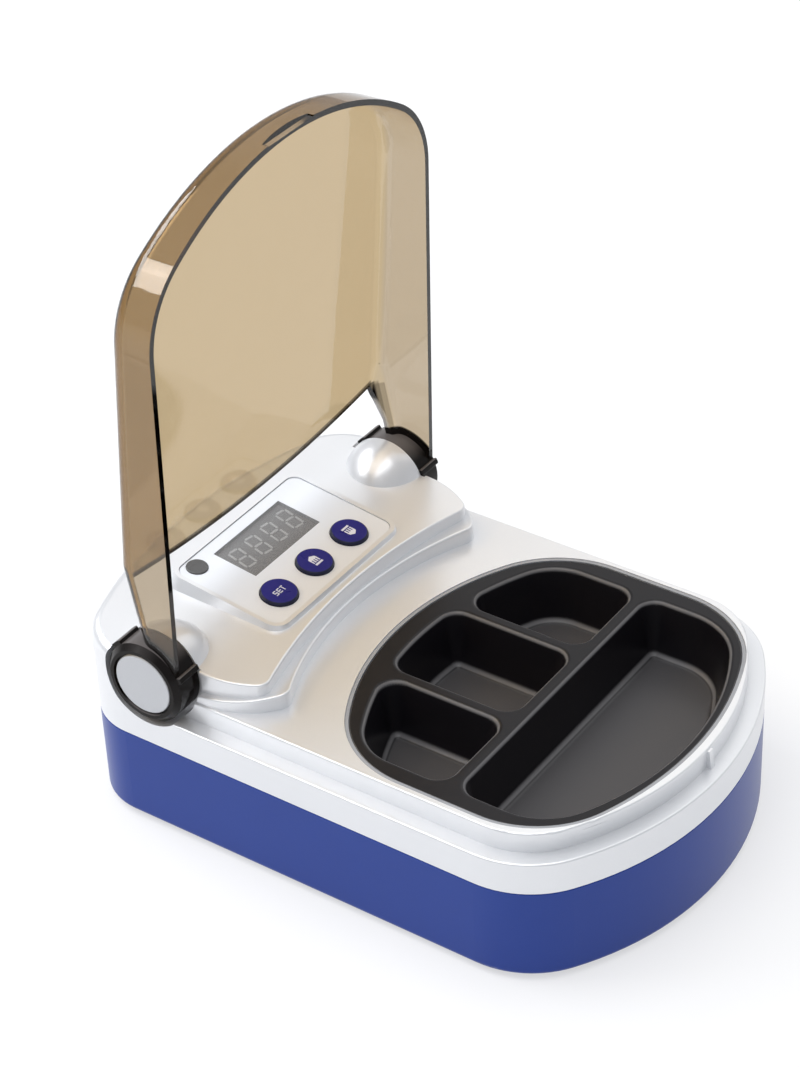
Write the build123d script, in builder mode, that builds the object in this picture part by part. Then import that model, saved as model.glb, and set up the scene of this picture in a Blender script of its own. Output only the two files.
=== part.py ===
from build123d import *
import os
from math import atan2, cos, radians, sin, sqrt, tan

os.makedirs("parts", exist_ok=True)

# Wax heater for a dental laboratory: a two-part moulded case, four heated wells, a
# tilted key panel and a smoked lid on two side hinges.
# Millimetres, +Z up, the wells toward -Y, the hinge toward +Y, standing on z = 0.

# ---------- driving dimensions ----------
# Case plan: half width, and for each end the tip y, the bow radius and the corner radius
CASE_HALF_WIDTH = 80.0
CASE_HALF_LENGTH = 115.65
FRONT_BOW = 113.6
FRONT_CORNER = 36.1
REAR_BOW = 196.6
REAR_CORNER = 24.3

# Heights of the case steps
STAND = 2.0
PARTING = 39.1
BAND_TOP = 52.1
DECK_TOP = 60.1
WALL = 2.5
DECK_INSET = 6.3
STEP_ROUND = 0.8

# Hinge line and the parts turning on it
RUNNING_GAP = 0.05
FIT_GAP = 0.1
HINGE_Y = CASE_HALF_LENGTH - 45.33
HINGE_Z = 66.24
NOTCH_RADIUS = 18.0
NOTCH_FACE = CASE_HALF_WIDTH - 11.1
DRUM_RADIUS = 15.96
DRUM_PROUD = 1.33
DRUM_IN = NOTCH_FACE + 0.3
DRUM_OUT = CASE_HALF_WIDTH + DRUM_PROUD
DRUM_BORE = 12.6
DRUM_BEVEL = 2.0
DOME_RADIUS = 16.5
DOME_LENGTH = 19.0
PIN_RADIUS = 3.0

# Raised platform and the lower ledge before it, with swept flanks and hollowed fronts
PLATFORM_HALF_WIDTH = CASE_HALF_WIDTH - 9.5
PLATFORM_TIP = HINGE_Y - 31.42
PLATFORM_BOW = 215.0
PLATFORM_FLANK = 35.0
PLATFORM_FLANK_END = PLATFORM_TIP + 13.1
PLATFORM_CORNER = 5.0
PLATFORM_FRONT_TOP = 71.0
PLATFORM_TILT = 3.7
LEDGE_HALF_WIDTH = CASE_HALF_WIDTH - 7.2
LEDGE_TIP = PLATFORM_TIP - 1.3
LEDGE_BOW = 128.0
LEDGE_FLANK = 30.0
LEDGE_FLANK_END = PLATFORM_TIP + 11.1
LEDGE_CORNER = 5.0
LEDGE_TOP = 65.0
LEDGE_TILT = -6.5
SHOULDER_ROUND = 3.6

# Lid, drawn shut
OPEN_ANGLE = 88.69
LID_WALL = 2.2
LID_RIM = 52.4
LID_INSET = 0.8
LID_DRAFT = 3.4
LID_TOP_AT_HINGE_END = 76.9
LID_TIP = HINGE_Y - 31.77
LID_SLOPE = 3.2
LID_ROUND = 6.5

# Wells and the opening they hang in: the tip, bow radius and corner radius of each end
OPENING_HALF_WIDTH = CASE_HALF_WIDTH - 8.6
OPENING_FRONT = (9.3 - CASE_HALF_LENGTH, 127.8, 38.4)
OPENING_REAR = (HINGE_Y - 51.27, 102.8, 40.6)
REBATE_FLOOR = 57.8
SHELF_THICK = 2.0
WELLS_HALF_WIDTH = OPENING_HALF_WIDTH - 8.9
WELLS_FRONT = (OPENING_FRONT[0] + 4.35, 106.5, 25.0)
WELLS_REAR = (OPENING_REAR[0] - 9.85, 114.0, 20.0)
POT_TOP = 59.6
POT_FLANGE = 1.0
POT_WALL = 2.0
POT_CLEARANCE = 0.6
WELL_FLOOR = 38.5
POT_UNDER = 36.3
WELL_DRAFT = 12.0

# Key panel plane
PANEL_TILT = 7.6
PANEL_Y = HINGE_Y - 2.57
PANEL_Z = 76.37
KEY_PITCH = 21.6
KEY_V = -13.5
KEY_HOLE = 7.3
SLIDE_GAP = 0.3

EAST_WEST = (1, -1)


# ---------- plan outlines ----------
def bowed_outline(half_width, front, rear, inset=0.0):
    """Two straight sides, a bowed front and a bowed rear, joined by round corners."""
    half = half_width - inset
    with BuildSketch() as sketch:
        with BuildLine():
            corner_ends = {}
            for end, (tip, bow, corner) in ((-1, front), (1, rear)):
                tip = tip - end * inset
                bow = bow - inset
                corner = corner - inset
                bow_y = tip - end * bow
                corner_x = half - corner
                corner_y = bow_y + end * sqrt((bow - corner) ** 2 - corner_x**2)
                share = bow / (bow - corner)
                touch = (corner_x * share, bow_y + (corner_y - bow_y) * share)
                turn = atan2(touch[1] - corner_y, touch[0] - corner_x) / 2
                middle = (corner_x + corner * cos(turn), corner_y + corner * sin(turn))
                ThreePointArc((-touch[0], touch[1]), (0, tip), touch)
                for side in EAST_WEST:
                    ThreePointArc(
                        (side * touch[0], touch[1]),
                        (side * middle[0], middle[1]),
                        (side * half, corner_y),
                    )
                corner_ends[end] = corner_y
            for side in EAST_WEST:
                Line((side * half, corner_ends[-1]), (side * half, corner_ends[1]))
        make_face()
    return sketch.sketch


def case_outline(inset=0.0):
    front = (-CASE_HALF_LENGTH, FRONT_BOW, FRONT_CORNER)
    rear = (CASE_HALF_LENGTH, REAR_BOW, REAR_CORNER)
    return bowed_outline(CASE_HALF_WIDTH, front, rear, inset)


def opening_outline(inset=0.0):
    return bowed_outline(OPENING_HALF_WIDTH, OPENING_FRONT, OPENING_REAR, inset)


def wells_outline(inset=0.0):
    return bowed_outline(WELLS_HALF_WIDTH, WELLS_FRONT, WELLS_REAR, inset)


def pot_passage():
    """Plan of the hole the hanging part of the pot goes through."""
    return wells_outline(-POT_WALL - POT_CLEARANCE)


def platform_outline(half_width, front, flank, corner, back):
    """A block whose flanks sweep in to a front that is hollowed round the wells."""
    tip, bow, flank_end = front
    depth = back - flank_end + 2 * flank
    with BuildSketch() as sketch:
        with Locations((0, flank_end - flank + depth / 2)):
            RectangleRounded(2 * half_width, depth, flank)
        with Locations((0, tip - bow)):
            Circle(bow, mode=Mode.SUBTRACT)
        with Locations((0, back - CASE_HALF_LENGTH)):
            Rectangle(4 * CASE_HALF_WIDTH, 2 * CASE_HALF_LENGTH, mode=Mode.INTERSECT)
        fillet(sketch.vertices().group_by(Axis.Y)[0], corner)
    return sketch.sketch


def behind(outline, y):
    """The part of a plan outline that lies beyond y."""
    with BuildSketch() as sketch:
        add(outline)
        with Locations((0, y + CASE_HALF_LENGTH)):
            Rectangle(4 * CASE_HALF_WIDTH, 2 * CASE_HALF_LENGTH, mode=Mode.INTERSECT)
    return sketch.sketch


def prism(outline, low, high, taper=0.0):
    with BuildPart() as block:
        with BuildSketch(Plane.XY.offset(low)):
            add(outline)
        extrude(amount=high - low, taper=taper)
    return block.part


def rounded_prism(outline, low, high, radius):
    """A prism with its top edge rounded."""
    with BuildPart() as block:
        with BuildSketch(Plane.XY.offset(low)):
            add(outline)
        extrude(amount=high - low)
        fillet(block.faces().sort_by(Axis.Z)[-1].edges(), radius)
    return block.part


def box_between(low, high):
    with BuildPart() as body:
        centre = [(a + b) / 2 for a, b in zip(low, high)]
        size = [b - a for a, b in zip(low, high)]
        with Locations(tuple(centre)):
            Box(*size)
    return body.part


def axle(radius, x_from, x_to):
    """A cylinder on the hinge line."""
    with BuildPart() as rod:
        with BuildSketch(Plane.YZ.offset(min(x_from, x_to))):
            with Locations((HINGE_Y, HINGE_Z)):
                Circle(radius)
        extrude(amount=abs(x_to - x_from))
    return rod.part


def tilted_plane(y, z, tilt):
    """Plane through a point on the middle line, rising to the rear by an angle."""
    normal = (0, -sin(radians(tilt)), cos(radians(tilt)))
    return Plane(origin=(0, y, z), x_dir=(1, 0, 0), z_dir=normal)


def platform_top(drop=0.0):
    """Plane of the platform's sloping top, or a parallel one below it."""
    return tilted_plane(PLATFORM_TIP, PLATFORM_FRONT_TOP, PLATFORM_TILT).offset(-drop)


PANEL = tilted_plane(PANEL_Y, PANEL_Z, PANEL_TILT)


def save(part, name):
    part.label = name
    export_step(part, "parts/" + name + ".step")


# ---------- silver top housing ----------
PLINTH_HALF_WIDTH = 37.7
PLINTH_FRONT = -25.6
PLINTH_REAR = 24.5
PLINTH_CORNER = 6.0
PLINTH_DRAFT = 22.0
PLINTH_DEPTH = 9.0
PANEL_RIM = 1.7
PANEL_SET_DOWN = 0.4
PANEL_THICK = 2.0
PANEL_LIP = 1.2
PANEL_LIP_THICK = 1.4
BOSS_RADIUS = 4.5
SCREW_RADIUS = 1.5
FRONT_POST = (CASE_HALF_WIDTH - 9.3, 53.65 - CASE_HALF_LENGTH)
REAR_POST = (CASE_HALF_WIDTH - 18.0, CASE_HALF_LENGTH - 23.65)
POST_SPLIT = 33.0
TONGUE = 1.3
TONGUE_DEPTH = 2.0
GUARD_WIDTH = 2.4
GUARD_FOOT = 1.9
GUARD_HEAD = 0.9


def panel_rectangle(margin, corner):
    """The plinth rectangle on the panel plane, drawn in by a margin."""
    width = 2 * (PLINTH_HALF_WIDTH - margin)
    height = PLINTH_REAR - PLINTH_FRONT - 2 * margin
    with BuildSketch() as sketch:
        with Locations((0, (PLINTH_REAR + PLINTH_FRONT) / 2)):
            RectangleRounded(width, height, corner)
    return sketch.sketch


def panel_block(margin, corner, top, bottom, taper=0.0):
    """A block standing between two depths under the panel plane, wider below by a draft."""
    with BuildPart() as block:
        with BuildSketch(PANEL.offset(-top)):
            add(panel_rectangle(margin, corner))
        extrude(amount=top - bottom, taper=-taper)
    return block.part


def sloped_block(outline, low, top, radius):
    """A block under a sloping plane, its top edges rounded except along the hinge line."""
    with BuildPart() as block:
        add(prism(outline, low, 90))
        split(bisect_by=top, keep=Keep.BOTTOM)
        crown = block.faces().sort_by(Axis.Z)[-1]
        rims = crown.edges().filter_by(lambda edge: abs(edge.center().Y - HINGE_Y) > 2)
        fillet(rims, radius)
    return block.part


def dome(radius, length, face):
    """Half an ellipsoid round the hinge line, pointing inward from a face on the +X side."""
    with BuildPart() as body:
        with BuildSketch(Plane.XY.offset(HINGE_Z)):
            with Locations((face, HINGE_Y)):
                Ellipse(length, radius)
            with Locations((face - length, HINGE_Y + radius)):
                Rectangle(2 * length, 2 * radius, mode=Mode.INTERSECT)
        revolve(axis=Axis((0, HINGE_Y, HINGE_Z), (1, 0, 0)))
    return body.part


def outer_housing():
    back = HINGE_Y + 1
    ledge_front = (LEDGE_TIP, LEDGE_BOW, LEDGE_FLANK_END)
    ledge = platform_outline(LEDGE_HALF_WIDTH, ledge_front, LEDGE_FLANK, LEDGE_CORNER, back)
    ledge_top = tilted_plane(LEDGE_TIP, LEDGE_TOP, LEDGE_TILT)
    front = (PLATFORM_TIP, PLATFORM_BOW, PLATFORM_FLANK_END)
    platform = platform_outline(
        PLATFORM_HALF_WIDTH, front, PLATFORM_FLANK, PLATFORM_CORNER, back
    )
    shoulder = behind(case_outline(), HINGE_Y)
    with BuildPart() as body:
        add(rounded_prism(case_outline(), PARTING, BAND_TOP, STEP_ROUND))
        add(rounded_prism(case_outline(DECK_INSET), PARTING, DECK_TOP, STEP_ROUND))
        add(sloped_block(ledge, BAND_TOP, ledge_top, STEP_ROUND))
        add(sloped_block(platform, BAND_TOP, platform_top(), STEP_ROUND))
        add(sloped_block(shoulder, BAND_TOP - 5, platform_top(), SHOULDER_ROUND))
        add(panel_block(0, PLINTH_CORNER, 0, PLINTH_DEPTH, PLINTH_DRAFT))
        cap = dome(DOME_RADIUS, DOME_LENGTH, NOTCH_FACE)
        add(cap)
        add(mirror(cap, Plane.YZ, mode=Mode.PRIVATE))
    return body.part


def housing_cavity():
    """The hollow inside the housing, one wall thickness in from every outer face."""
    inner = NOTCH_FACE - WALL
    back = HINGE_Y + 1
    front = (PLATFORM_TIP + WALL, PLATFORM_BOW + WALL, PLATFORM_FLANK_END)
    flank = PLATFORM_FLANK - WALL
    hall = platform_outline(
        PLATFORM_HALF_WIDTH - WALL, front, flank, PLATFORM_CORNER - WALL, back
    )
    guard = axle(NOTCH_RADIUS + WALL, inner, CASE_HALF_WIDTH + 5)
    bay = dome(DOME_RADIUS - WALL, DOME_LENGTH - WALL, inner)
    with BuildPart() as body:
        add(prism(case_outline(WALL), PARTING, BAND_TOP - WALL))
        add(prism(case_outline(DECK_INSET + WALL), PARTING, DECK_TOP - WALL))
        add(prism(hall, PARTING, 90))
        add(prism(behind(case_outline(WALL), HINGE_Y), PARTING, 90))
        split(bisect_by=platform_top(WALL), keep=Keep.BOTTOM)
        add(guard, mode=Mode.SUBTRACT)
        add(mirror(guard, Plane.YZ, mode=Mode.PRIVATE), mode=Mode.SUBTRACT)
        add(bay)
        add(mirror(bay, Plane.YZ, mode=Mode.PRIVATE))
    return body.part


def ring_prism(outline, core, low, high):
    """A frame between two plan outlines."""
    with BuildPart() as body:
        add(prism(outline, low, high))
        add(prism(core, low - 1, high + 1), mode=Mode.SUBTRACT)
    return body.part


def guide_rib():
    """Small gusset on the front of the deck that centres the lid."""
    deck_front = -CASE_HALF_LENGTH + DECK_INSET
    with BuildPart() as body:
        with BuildSketch(Plane.YZ.offset(-GUARD_WIDTH / 2)):
            with BuildLine():
                Polyline(
                    (deck_front + 1, BAND_TOP - 0.5),
                    (deck_front - GUARD_FOOT, BAND_TOP - 0.5),
                    (deck_front - GUARD_HEAD, DECK_TOP - STEP_ROUND),
                    (deck_front + 1, DECK_TOP - STEP_ROUND),
                    close=True,
                )
            make_face()
        extrude(amount=GUARD_WIDTH)
    return body.part


def case_posts():
    """Where the four case screws stand."""
    return [(side * x, y) for x, y in (FRONT_POST, REAR_POST) for side in EAST_WEST]


HUB_OUT = DRUM_OUT - 1.53
PIN_INNER = NOTCH_FACE - 12.9
PIN_BOSS = 6.5
PIN_OUTER = HUB_OUT - 0.8
SCREW_DEPTH = 12.0


def under_platform(y, drop):
    """Height of the point that lies a drop under the platform's top at y."""
    rise = (y - PLATFORM_TIP) * tan(radians(PLATFORM_TILT))
    return PLATFORM_FRONT_TOP + rise - drop


BOSS_TOP = {FRONT_POST: BAND_TOP - WALL / 2, REAR_POST: under_platform(REAR_POST[1], WALL / 2)}


def build_top_housing():
    outer = outer_housing()
    hollow = housing_cavity()
    with BuildPart() as housing:
        add(outer)
        add(hollow, mode=Mode.SUBTRACT)
        # shelf the well pot hangs on
        low = REBATE_FLOOR - SHELF_THICK
        add(ring_prism(opening_outline(-1.0), pot_passage(), low, REBATE_FLOOR))
        add(prism(opening_outline(), REBATE_FLOOR, DECK_TOP + 1), mode=Mode.SUBTRACT)
        add(prism(pot_passage(), low - 1, DECK_TOP + 1), mode=Mode.SUBTRACT)
        # panel opening: a shallow tray, a lip, then clear below
        rim = PANEL_RIM
        floor = PANEL_SET_DOWN + PANEL_THICK
        under = floor + PANEL_LIP_THICK
        mouth = rim + PANEL_LIP
        add(panel_block(rim, PLINTH_CORNER - rim, -1, floor), mode=Mode.SUBTRACT)
        add(panel_block(mouth, 3, -1, under + 1), mode=Mode.SUBTRACT)
        add(panel_block(rim, PLINTH_CORNER - rim, under, 16), mode=Mode.SUBTRACT)
        add(guide_rib())
        # tongue that drops inside the base
        tongue_out = case_outline(WALL + FIT_GAP)
        tongue_in = case_outline(WALL + FIT_GAP + TONGUE)
        add(ring_prism(tongue_out, tongue_in, PARTING - TONGUE_DEPTH, PARTING + TONGUE_DEPTH))
        root = case_outline(WALL - 0.2)
        add(ring_prism(root, tongue_in, PARTING, PARTING + TONGUE_DEPTH))
        # bosses for the case screws and for the hinge pins
        for post in (FRONT_POST, REAR_POST):
            for side in EAST_WEST:
                with BuildSketch(Plane.XY.offset(POST_SPLIT)):
                    with Locations((side * post[0], post[1])):
                        Circle(BOSS_RADIUS)
                extrude(amount=BOSS_TOP[post] - POST_SPLIT)
        for side in EAST_WEST:
            add(axle(PIN_BOSS, side * (PIN_INNER - 2), side * (NOTCH_FACE - 1)))
        for side in EAST_WEST:
            cut = axle(NOTCH_RADIUS, side * NOTCH_FACE, side * (CASE_HALF_WIDTH + 5))
            add(cut, mode=Mode.SUBTRACT)
            pin = axle(PIN_RADIUS, side * PIN_INNER, side * (NOTCH_FACE + 1))
            add(pin, mode=Mode.SUBTRACT)
        with BuildSketch(Plane.XY.offset(POST_SPLIT)):
            with Locations(*case_posts()):
                Circle(SCREW_RADIUS)
        extrude(amount=SCREW_DEPTH, mode=Mode.SUBTRACT)
        parting = housing.edges().filter_by(
            lambda edge: abs(edge.center().Z - PARTING) < 0.01 and on_case_wall(edge)
        )
        chamfer(parting, 0.3)
    return housing.part


def on_case_wall(edge):
    """True for edges that run round the outside of the case."""
    spot = edge @ 0.5
    return abs(spot.X) > CASE_HALF_WIDTH - 0.1 or not inside_case(spot, 0.5)


def inside_case(spot, inset):
    """Whether a point lies inside the case outline drawn in by an inset."""
    face = case_outline(inset).faces()[0]
    return face.is_inside(Vector(spot.X, spot.Y, 0))


# ---------- blue base ----------
BASE_EDGE = 2.3
FLOOR = 2.5
FLOOR_TOP = STAND + FLOOR
FOOT_RADIUS = 6.5
FOOT_SINK = 1.2
FOOT_SPOTS = (
    (CASE_HALF_WIDTH - 24.0, 37.65 - CASE_HALF_LENGTH),
    (CASE_HALF_WIDTH - 26.0, CASE_HALF_LENGTH - 31.65),
)
HEAD_RADIUS = 2.8
HEAD_HEIGHT = 2.2
SMALL_HEAD_RADIUS = 2.4
SMALL_HEAD_HEIGHT = 1.6
SEAT = 3.0
POCKET_Y = CASE_HALF_LENGTH - 5.45
POCKET_X = (-39.0, 36.0)
POCKET_Z = (7.5, 34.5)
INLET_X = -21.0
INLET_Z = 21.0
INLET_HALF_WIDTH = 13.5
INLET_HALF_HEIGHT = 10.0
SWITCH_X = 19.0
SWITCH_HALF_WIDTH = 6.5
SWITCH_HALF_HEIGHT = 9.6
SHIELD_Z = 27.8
SHIELD_POSTS = (
    (WELLS_HALF_WIDTH - 10.6, WELLS_FRONT[0] + 19.8),
    (WELLS_HALF_WIDTH - 9.0, WELLS_REAR[0] - 19.2),
)
SHIELD_POST_RADIUS = 3.4
BOARD_Z = 10.5
BOARD_THICK = 1.6
BOARD_HALF_WIDTH = 48.0
BOARD_LENGTH = 60.0
BOARD_REAR = POCKET_Y - 26.2
BOARD_MARGIN = 5.0
BOARD_POSTS = (
    (BOARD_HALF_WIDTH - BOARD_MARGIN, BOARD_REAR - BOARD_LENGTH + BOARD_MARGIN),
    (BOARD_HALF_WIDTH - BOARD_MARGIN, BOARD_REAR - BOARD_MARGIN),
)
BOARD_POST_RADIUS = 3.2
PILOT = 1.25
VENT_WIDTH = 3.0
VENT_LENGTH = 22.0
VENT_SPOTS = ((0, BOARD_REAR - BOARD_LENGTH / 2), (0, -48))


def both_sides(spots):
    return [(side * x, y) for x, y in spots for side in EAST_WEST]


def build_base_housing():
    with BuildPart() as base:
        with BuildSketch(Plane.XY.offset(STAND)):
            add(case_outline())
        extrude(amount=PARTING - STAND)
        fillet(base.faces().sort_by(Axis.Z)[0].edges(), BASE_EDGE)
        chamfer(base.faces().sort_by(Axis.Z)[-1].edges(), 0.3)
        add(prism(case_outline(WALL), FLOOR_TOP, PARTING + 1), mode=Mode.SUBTRACT)
        # thick panel behind the connector pocket
        x_low, x_high = POCKET_X
        z_low, z_high = POCKET_Z
        inner = POCKET_Y - WALL
        back = box_between(
            (x_low - WALL, inner, FLOOR_TOP - 1), (x_high + WALL, CASE_HALF_LENGTH, z_high + 1)
        )
        hull = prism(case_outline(WALL / 2), STAND + 1, PARTING)
        add(back & hull)
        beyond = CASE_HALF_LENGTH + 1
        pocket = box_between((x_low, POCKET_Y, z_low), (x_high, beyond, z_high))
        add(pocket, mode=Mode.SUBTRACT)
        holes = (
            (INLET_X, INLET_HALF_WIDTH, INLET_HALF_HEIGHT),
            (SWITCH_X, SWITCH_HALF_WIDTH, SWITCH_HALF_HEIGHT),
        )
        for x, half_width, half_height in holes:
            hole = box_between(
                (x - half_width, inner - 1, INLET_Z - half_height),
                (x + half_width, beyond, INLET_Z + half_height),
            )
            add(hole, mode=Mode.SUBTRACT)
        # posts: case screws, heat shield, power board
        with BuildSketch(Plane.XY.offset(FLOOR_TOP - 0.5)):
            with Locations(*case_posts()):
                Circle(BOSS_RADIUS)
        extrude(amount=POST_SPLIT - FLOOR_TOP + 0.5)
        with BuildSketch(Plane.XY.offset(FLOOR_TOP - 0.5)):
            with Locations(*both_sides(SHIELD_POSTS)):
                Circle(SHIELD_POST_RADIUS)
        extrude(amount=SHIELD_Z - FLOOR_TOP + 0.5)
        with BuildSketch(Plane.XY.offset(FLOOR_TOP - 0.5)):
            with Locations(*both_sides(BOARD_POSTS)):
                Circle(BOARD_POST_RADIUS)
        extrude(amount=BOARD_Z - FLOOR_TOP + 0.5)
        # screw wells from below, pilot bores from above
        with BuildSketch(Plane.XY.offset(STAND - 1)):
            with Locations(*case_posts()):
                Circle(HEAD_RADIUS + SLIDE_GAP)
        extrude(amount=POST_SPLIT - SEAT - STAND + 1, mode=Mode.SUBTRACT)
        with BuildSketch(Plane.XY.offset(POST_SPLIT - SEAT - 1)):
            with Locations(*case_posts()):
                Circle(SCREW_RADIUS + FIT_GAP)
        extrude(amount=SEAT + 2, mode=Mode.SUBTRACT)
        with BuildSketch(Plane.XY.offset(SHIELD_Z)):
            with Locations(*both_sides(SHIELD_POSTS)):
                Circle(PILOT)
        extrude(amount=-SCREW_DEPTH, mode=Mode.SUBTRACT)
        with BuildSketch(Plane.XY.offset(BOARD_Z)):
            with Locations(*both_sides(BOARD_POSTS)):
                Circle(PILOT)
        extrude(amount=-5.0, mode=Mode.SUBTRACT)
        # sockets for the feet and cooling slots
        with BuildSketch(Plane.XY.offset(STAND - 1)):
            with Locations(*both_sides(FOOT_SPOTS)):
                Circle(FOOT_RADIUS + FIT_GAP)
        extrude(amount=1 + FOOT_SINK, mode=Mode.SUBTRACT)
        with BuildSketch(Plane.XY.offset(STAND - 1)):
            with Locations(*VENT_SPOTS):
                with GridLocations(2.4 * VENT_WIDTH, 1, 9, 1):
                    SlotOverall(VENT_LENGTH, VENT_WIDTH, rotation=90)
        extrude(amount=FLOOR + 2, mode=Mode.SUBTRACT)
    return base.part


def build_feet():
    with BuildPart() as feet:
        with BuildSketch():
            with Locations(*both_sides(FOOT_SPOTS)):
                Circle(FOOT_RADIUS)
        extrude(amount=STAND + FOOT_SINK)
        chamfer(feet.edges().group_by(Axis.Z)[0], 0.5)
    return feet.part


def screw_set(spots, seat, head_radius, head_height, shank_radius, length, upward):
    """Pan-head screws with a cross slot; upward screws have the head below the seat."""
    way = 1 if upward else -1
    with BuildPart() as screws:
        with BuildSketch(Plane.XY.offset(seat)):
            with Locations(*spots):
                Circle(head_radius)
        extrude(amount=-way * head_height)
        with BuildSketch(Plane.XY.offset(seat)):
            with Locations(*spots):
                Circle(shank_radius)
        extrude(amount=way * length)
        with BuildSketch(Plane.XY.offset(seat - way * head_height)):
            with Locations(*spots):
                Rectangle(1.3 * head_radius, 0.6)
                Rectangle(0.6, 1.3 * head_radius)
        extrude(amount=way * 0.9, mode=Mode.SUBTRACT)
    return screws.part


def build_case_screws():
    seat = POST_SPLIT - SEAT
    length = SEAT + SCREW_DEPTH - 2
    shank = SCREW_RADIUS - RUNNING_GAP
    return screw_set(case_posts(), seat, HEAD_RADIUS, HEAD_HEIGHT, shank, length, True)


# ---------- well pot and what is under it ----------
SEAL_FOOT = 0.8
SEAL_WALL = 1.4
POT_FILLET = 3.0
POT_RIM = 2.1
POT_EDGE = 0.5
MAIN_DIVIDER = (-48.7, -43.5)
SIDE_DIVIDER = (19.7, 24.7)
WELL_CORNER = 7.0


def build_seal():
    outer = opening_outline(FIT_GAP)
    with BuildPart() as seal:
        add(ring_prism(outer, opening_outline(SEAL_WALL), REBATE_FLOOR, DECK_TOP - 0.3))
        add(ring_prism(outer, pot_passage(), REBATE_FLOOR, REBATE_FLOOR + SEAL_FOOT))
    return seal.part


def well_region(x_low, x_high, y_low, y_high):
    """One well's mouth: the shared outline cut to a rectangle, corners rounded."""
    with BuildSketch() as sketch:
        add(wells_outline())
        with Locations(((x_low + x_high) / 2, (y_low + y_high) / 2)):
            Rectangle(x_high - x_low, y_high - y_low, mode=Mode.INTERSECT)
        sharp = sketch.vertices().filter_by(
            lambda spot: is_cut_corner(spot, x_low, x_high, y_low, y_high)
        )
        fillet(sharp, WELL_CORNER)
    return sketch.sketch


def is_cut_corner(spot, x_low, x_high, y_low, y_high):
    """Corners made by the cutting rectangle, not by the shared outline."""
    on_x = min(abs(spot.X - x_low), abs(spot.X - x_high)) < 0.01
    on_y = min(abs(spot.Y - y_low), abs(spot.Y - y_high)) < 0.01
    return on_x or on_y


def build_wax_pot():
    far = 200.0
    narrow, wide = SIDE_DIVIDER
    front, rear = MAIN_DIVIDER
    wells = (
        well_region(-far, far, -far, front),
        well_region(-far, -wide, rear, far),
        well_region(-narrow, narrow, rear, far),
        well_region(wide, far, rear, far),
    )
    with BuildPart() as pot:
        add(prism(opening_outline(SEAL_WALL + 2 * FIT_GAP), POT_TOP - POT_FLANGE, POT_TOP))
        with BuildSketch(Plane.XY.offset(POT_TOP - POT_FLANGE)):
            add(wells_outline(-POT_WALL))
        extrude(amount=POT_UNDER - POT_TOP + POT_FLANGE, taper=WELL_DRAFT)
        for well in wells:
            add(tapered_pit(well), mode=Mode.SUBTRACT)
        rim = pot.faces().sort_by(Axis.Z)[-1]
        fillet(rim.inner_wires().edges(), POT_RIM)
        rim = pot.faces().sort_by(Axis.Z)[-1]
        fillet(rim.outer_wire().edges(), POT_EDGE)
    return pot.part


def tapered_pit(region):
    with BuildPart() as pit:
        with BuildSketch(Plane.XY.offset(POT_TOP)):
            add(region)
        extrude(amount=WELL_FLOOR - POT_TOP, taper=WELL_DRAFT)
        fillet(pit.faces().sort_by(Axis.Z)[0].edges(), POT_FILLET)
    return pit.part


HEATER_THICK = 1.5
PAD_THICK = 6.0
SHIELD_THICK = 1.0
HEATER_TAIL = WELLS_REAR[0] + 5.3
SHIELD_SCREW_LENGTH = 9.0
SENSOR_SPOT = (0.0, -20.0)
CUTOUT_SPOT = (26.0, -20.0)
SENSOR_HALF = 5.0
CUTOUT_RADIUS = 8.0
LEAD_RADIUS = 0.9
LEAD_SPOTS = (0.6, 3.2)


def build_heater():
    top = POT_UNDER
    with BuildPart() as heater:
        add(prism(wells_outline(5.0), top - HEATER_THICK, top))
        with BuildSketch(Plane.XY.offset(top - HEATER_THICK)):
            with Locations((2, HEATER_TAIL - 8)):
                Rectangle(12, 16)
        extrude(amount=HEATER_THICK)
    return heater.part


def build_pad():
    top = POT_UNDER - HEATER_THICK
    with BuildPart() as pad:
        add(prism(wells_outline(8.6), top - PAD_THICK, top))
        with BuildSketch(Plane.XY.offset(top - PAD_THICK)):
            with Locations(SENSOR_SPOT):
                Rectangle(2 * SENSOR_HALF + 1, 8)
            with Locations(CUTOUT_SPOT):
                Circle(CUTOUT_RADIUS + 0.5)
        extrude(amount=PAD_THICK, mode=Mode.SUBTRACT)
    return pad.part


def build_shield():
    with BuildPart() as shield:
        add(prism(wells_outline(0.6), SHIELD_Z, SHIELD_Z + SHIELD_THICK))
        with BuildSketch(Plane.XY.offset(SHIELD_Z)):
            with Locations(*both_sides(SHIELD_POSTS)):
                Circle(PILOT + 0.3)
        extrude(amount=SHIELD_THICK, mode=Mode.SUBTRACT)
    return shield.part


def build_shield_screws():
    seat = SHIELD_Z + SHIELD_THICK
    shank = PILOT - RUNNING_GAP
    head = (SMALL_HEAD_RADIUS, SMALL_HEAD_HEIGHT)
    return screw_set(both_sides(SHIELD_POSTS), seat, *head, shank, SHIELD_SCREW_LENGTH, False)


def build_sensor():
    top = POT_UNDER - HEATER_THICK
    with BuildPart() as sensor:
        with BuildSketch(Plane.XY.offset(top)):
            with Locations(SENSOR_SPOT):
                RectangleRounded(2 * SENSOR_HALF, 5, 1.5)
        extrude(amount=-4.0)
        fillet(sensor.edges().group_by(Axis.Z)[0], 1.0)
    return sensor.part


def build_cutout():
    top = POT_UNDER - HEATER_THICK
    with BuildPart() as cutout:
        with BuildSketch(Plane.XY.offset(top)):
            with Locations(CUTOUT_SPOT):
                Circle(CUTOUT_RADIUS)
        extrude(amount=-1.5)
        with BuildSketch(Plane.XY.offset(top - 1.5)):
            with Locations(CUTOUT_SPOT):
                Circle(CUTOUT_RADIUS - 1.5)
        extrude(amount=-3.6)
    return cutout.part


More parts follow.
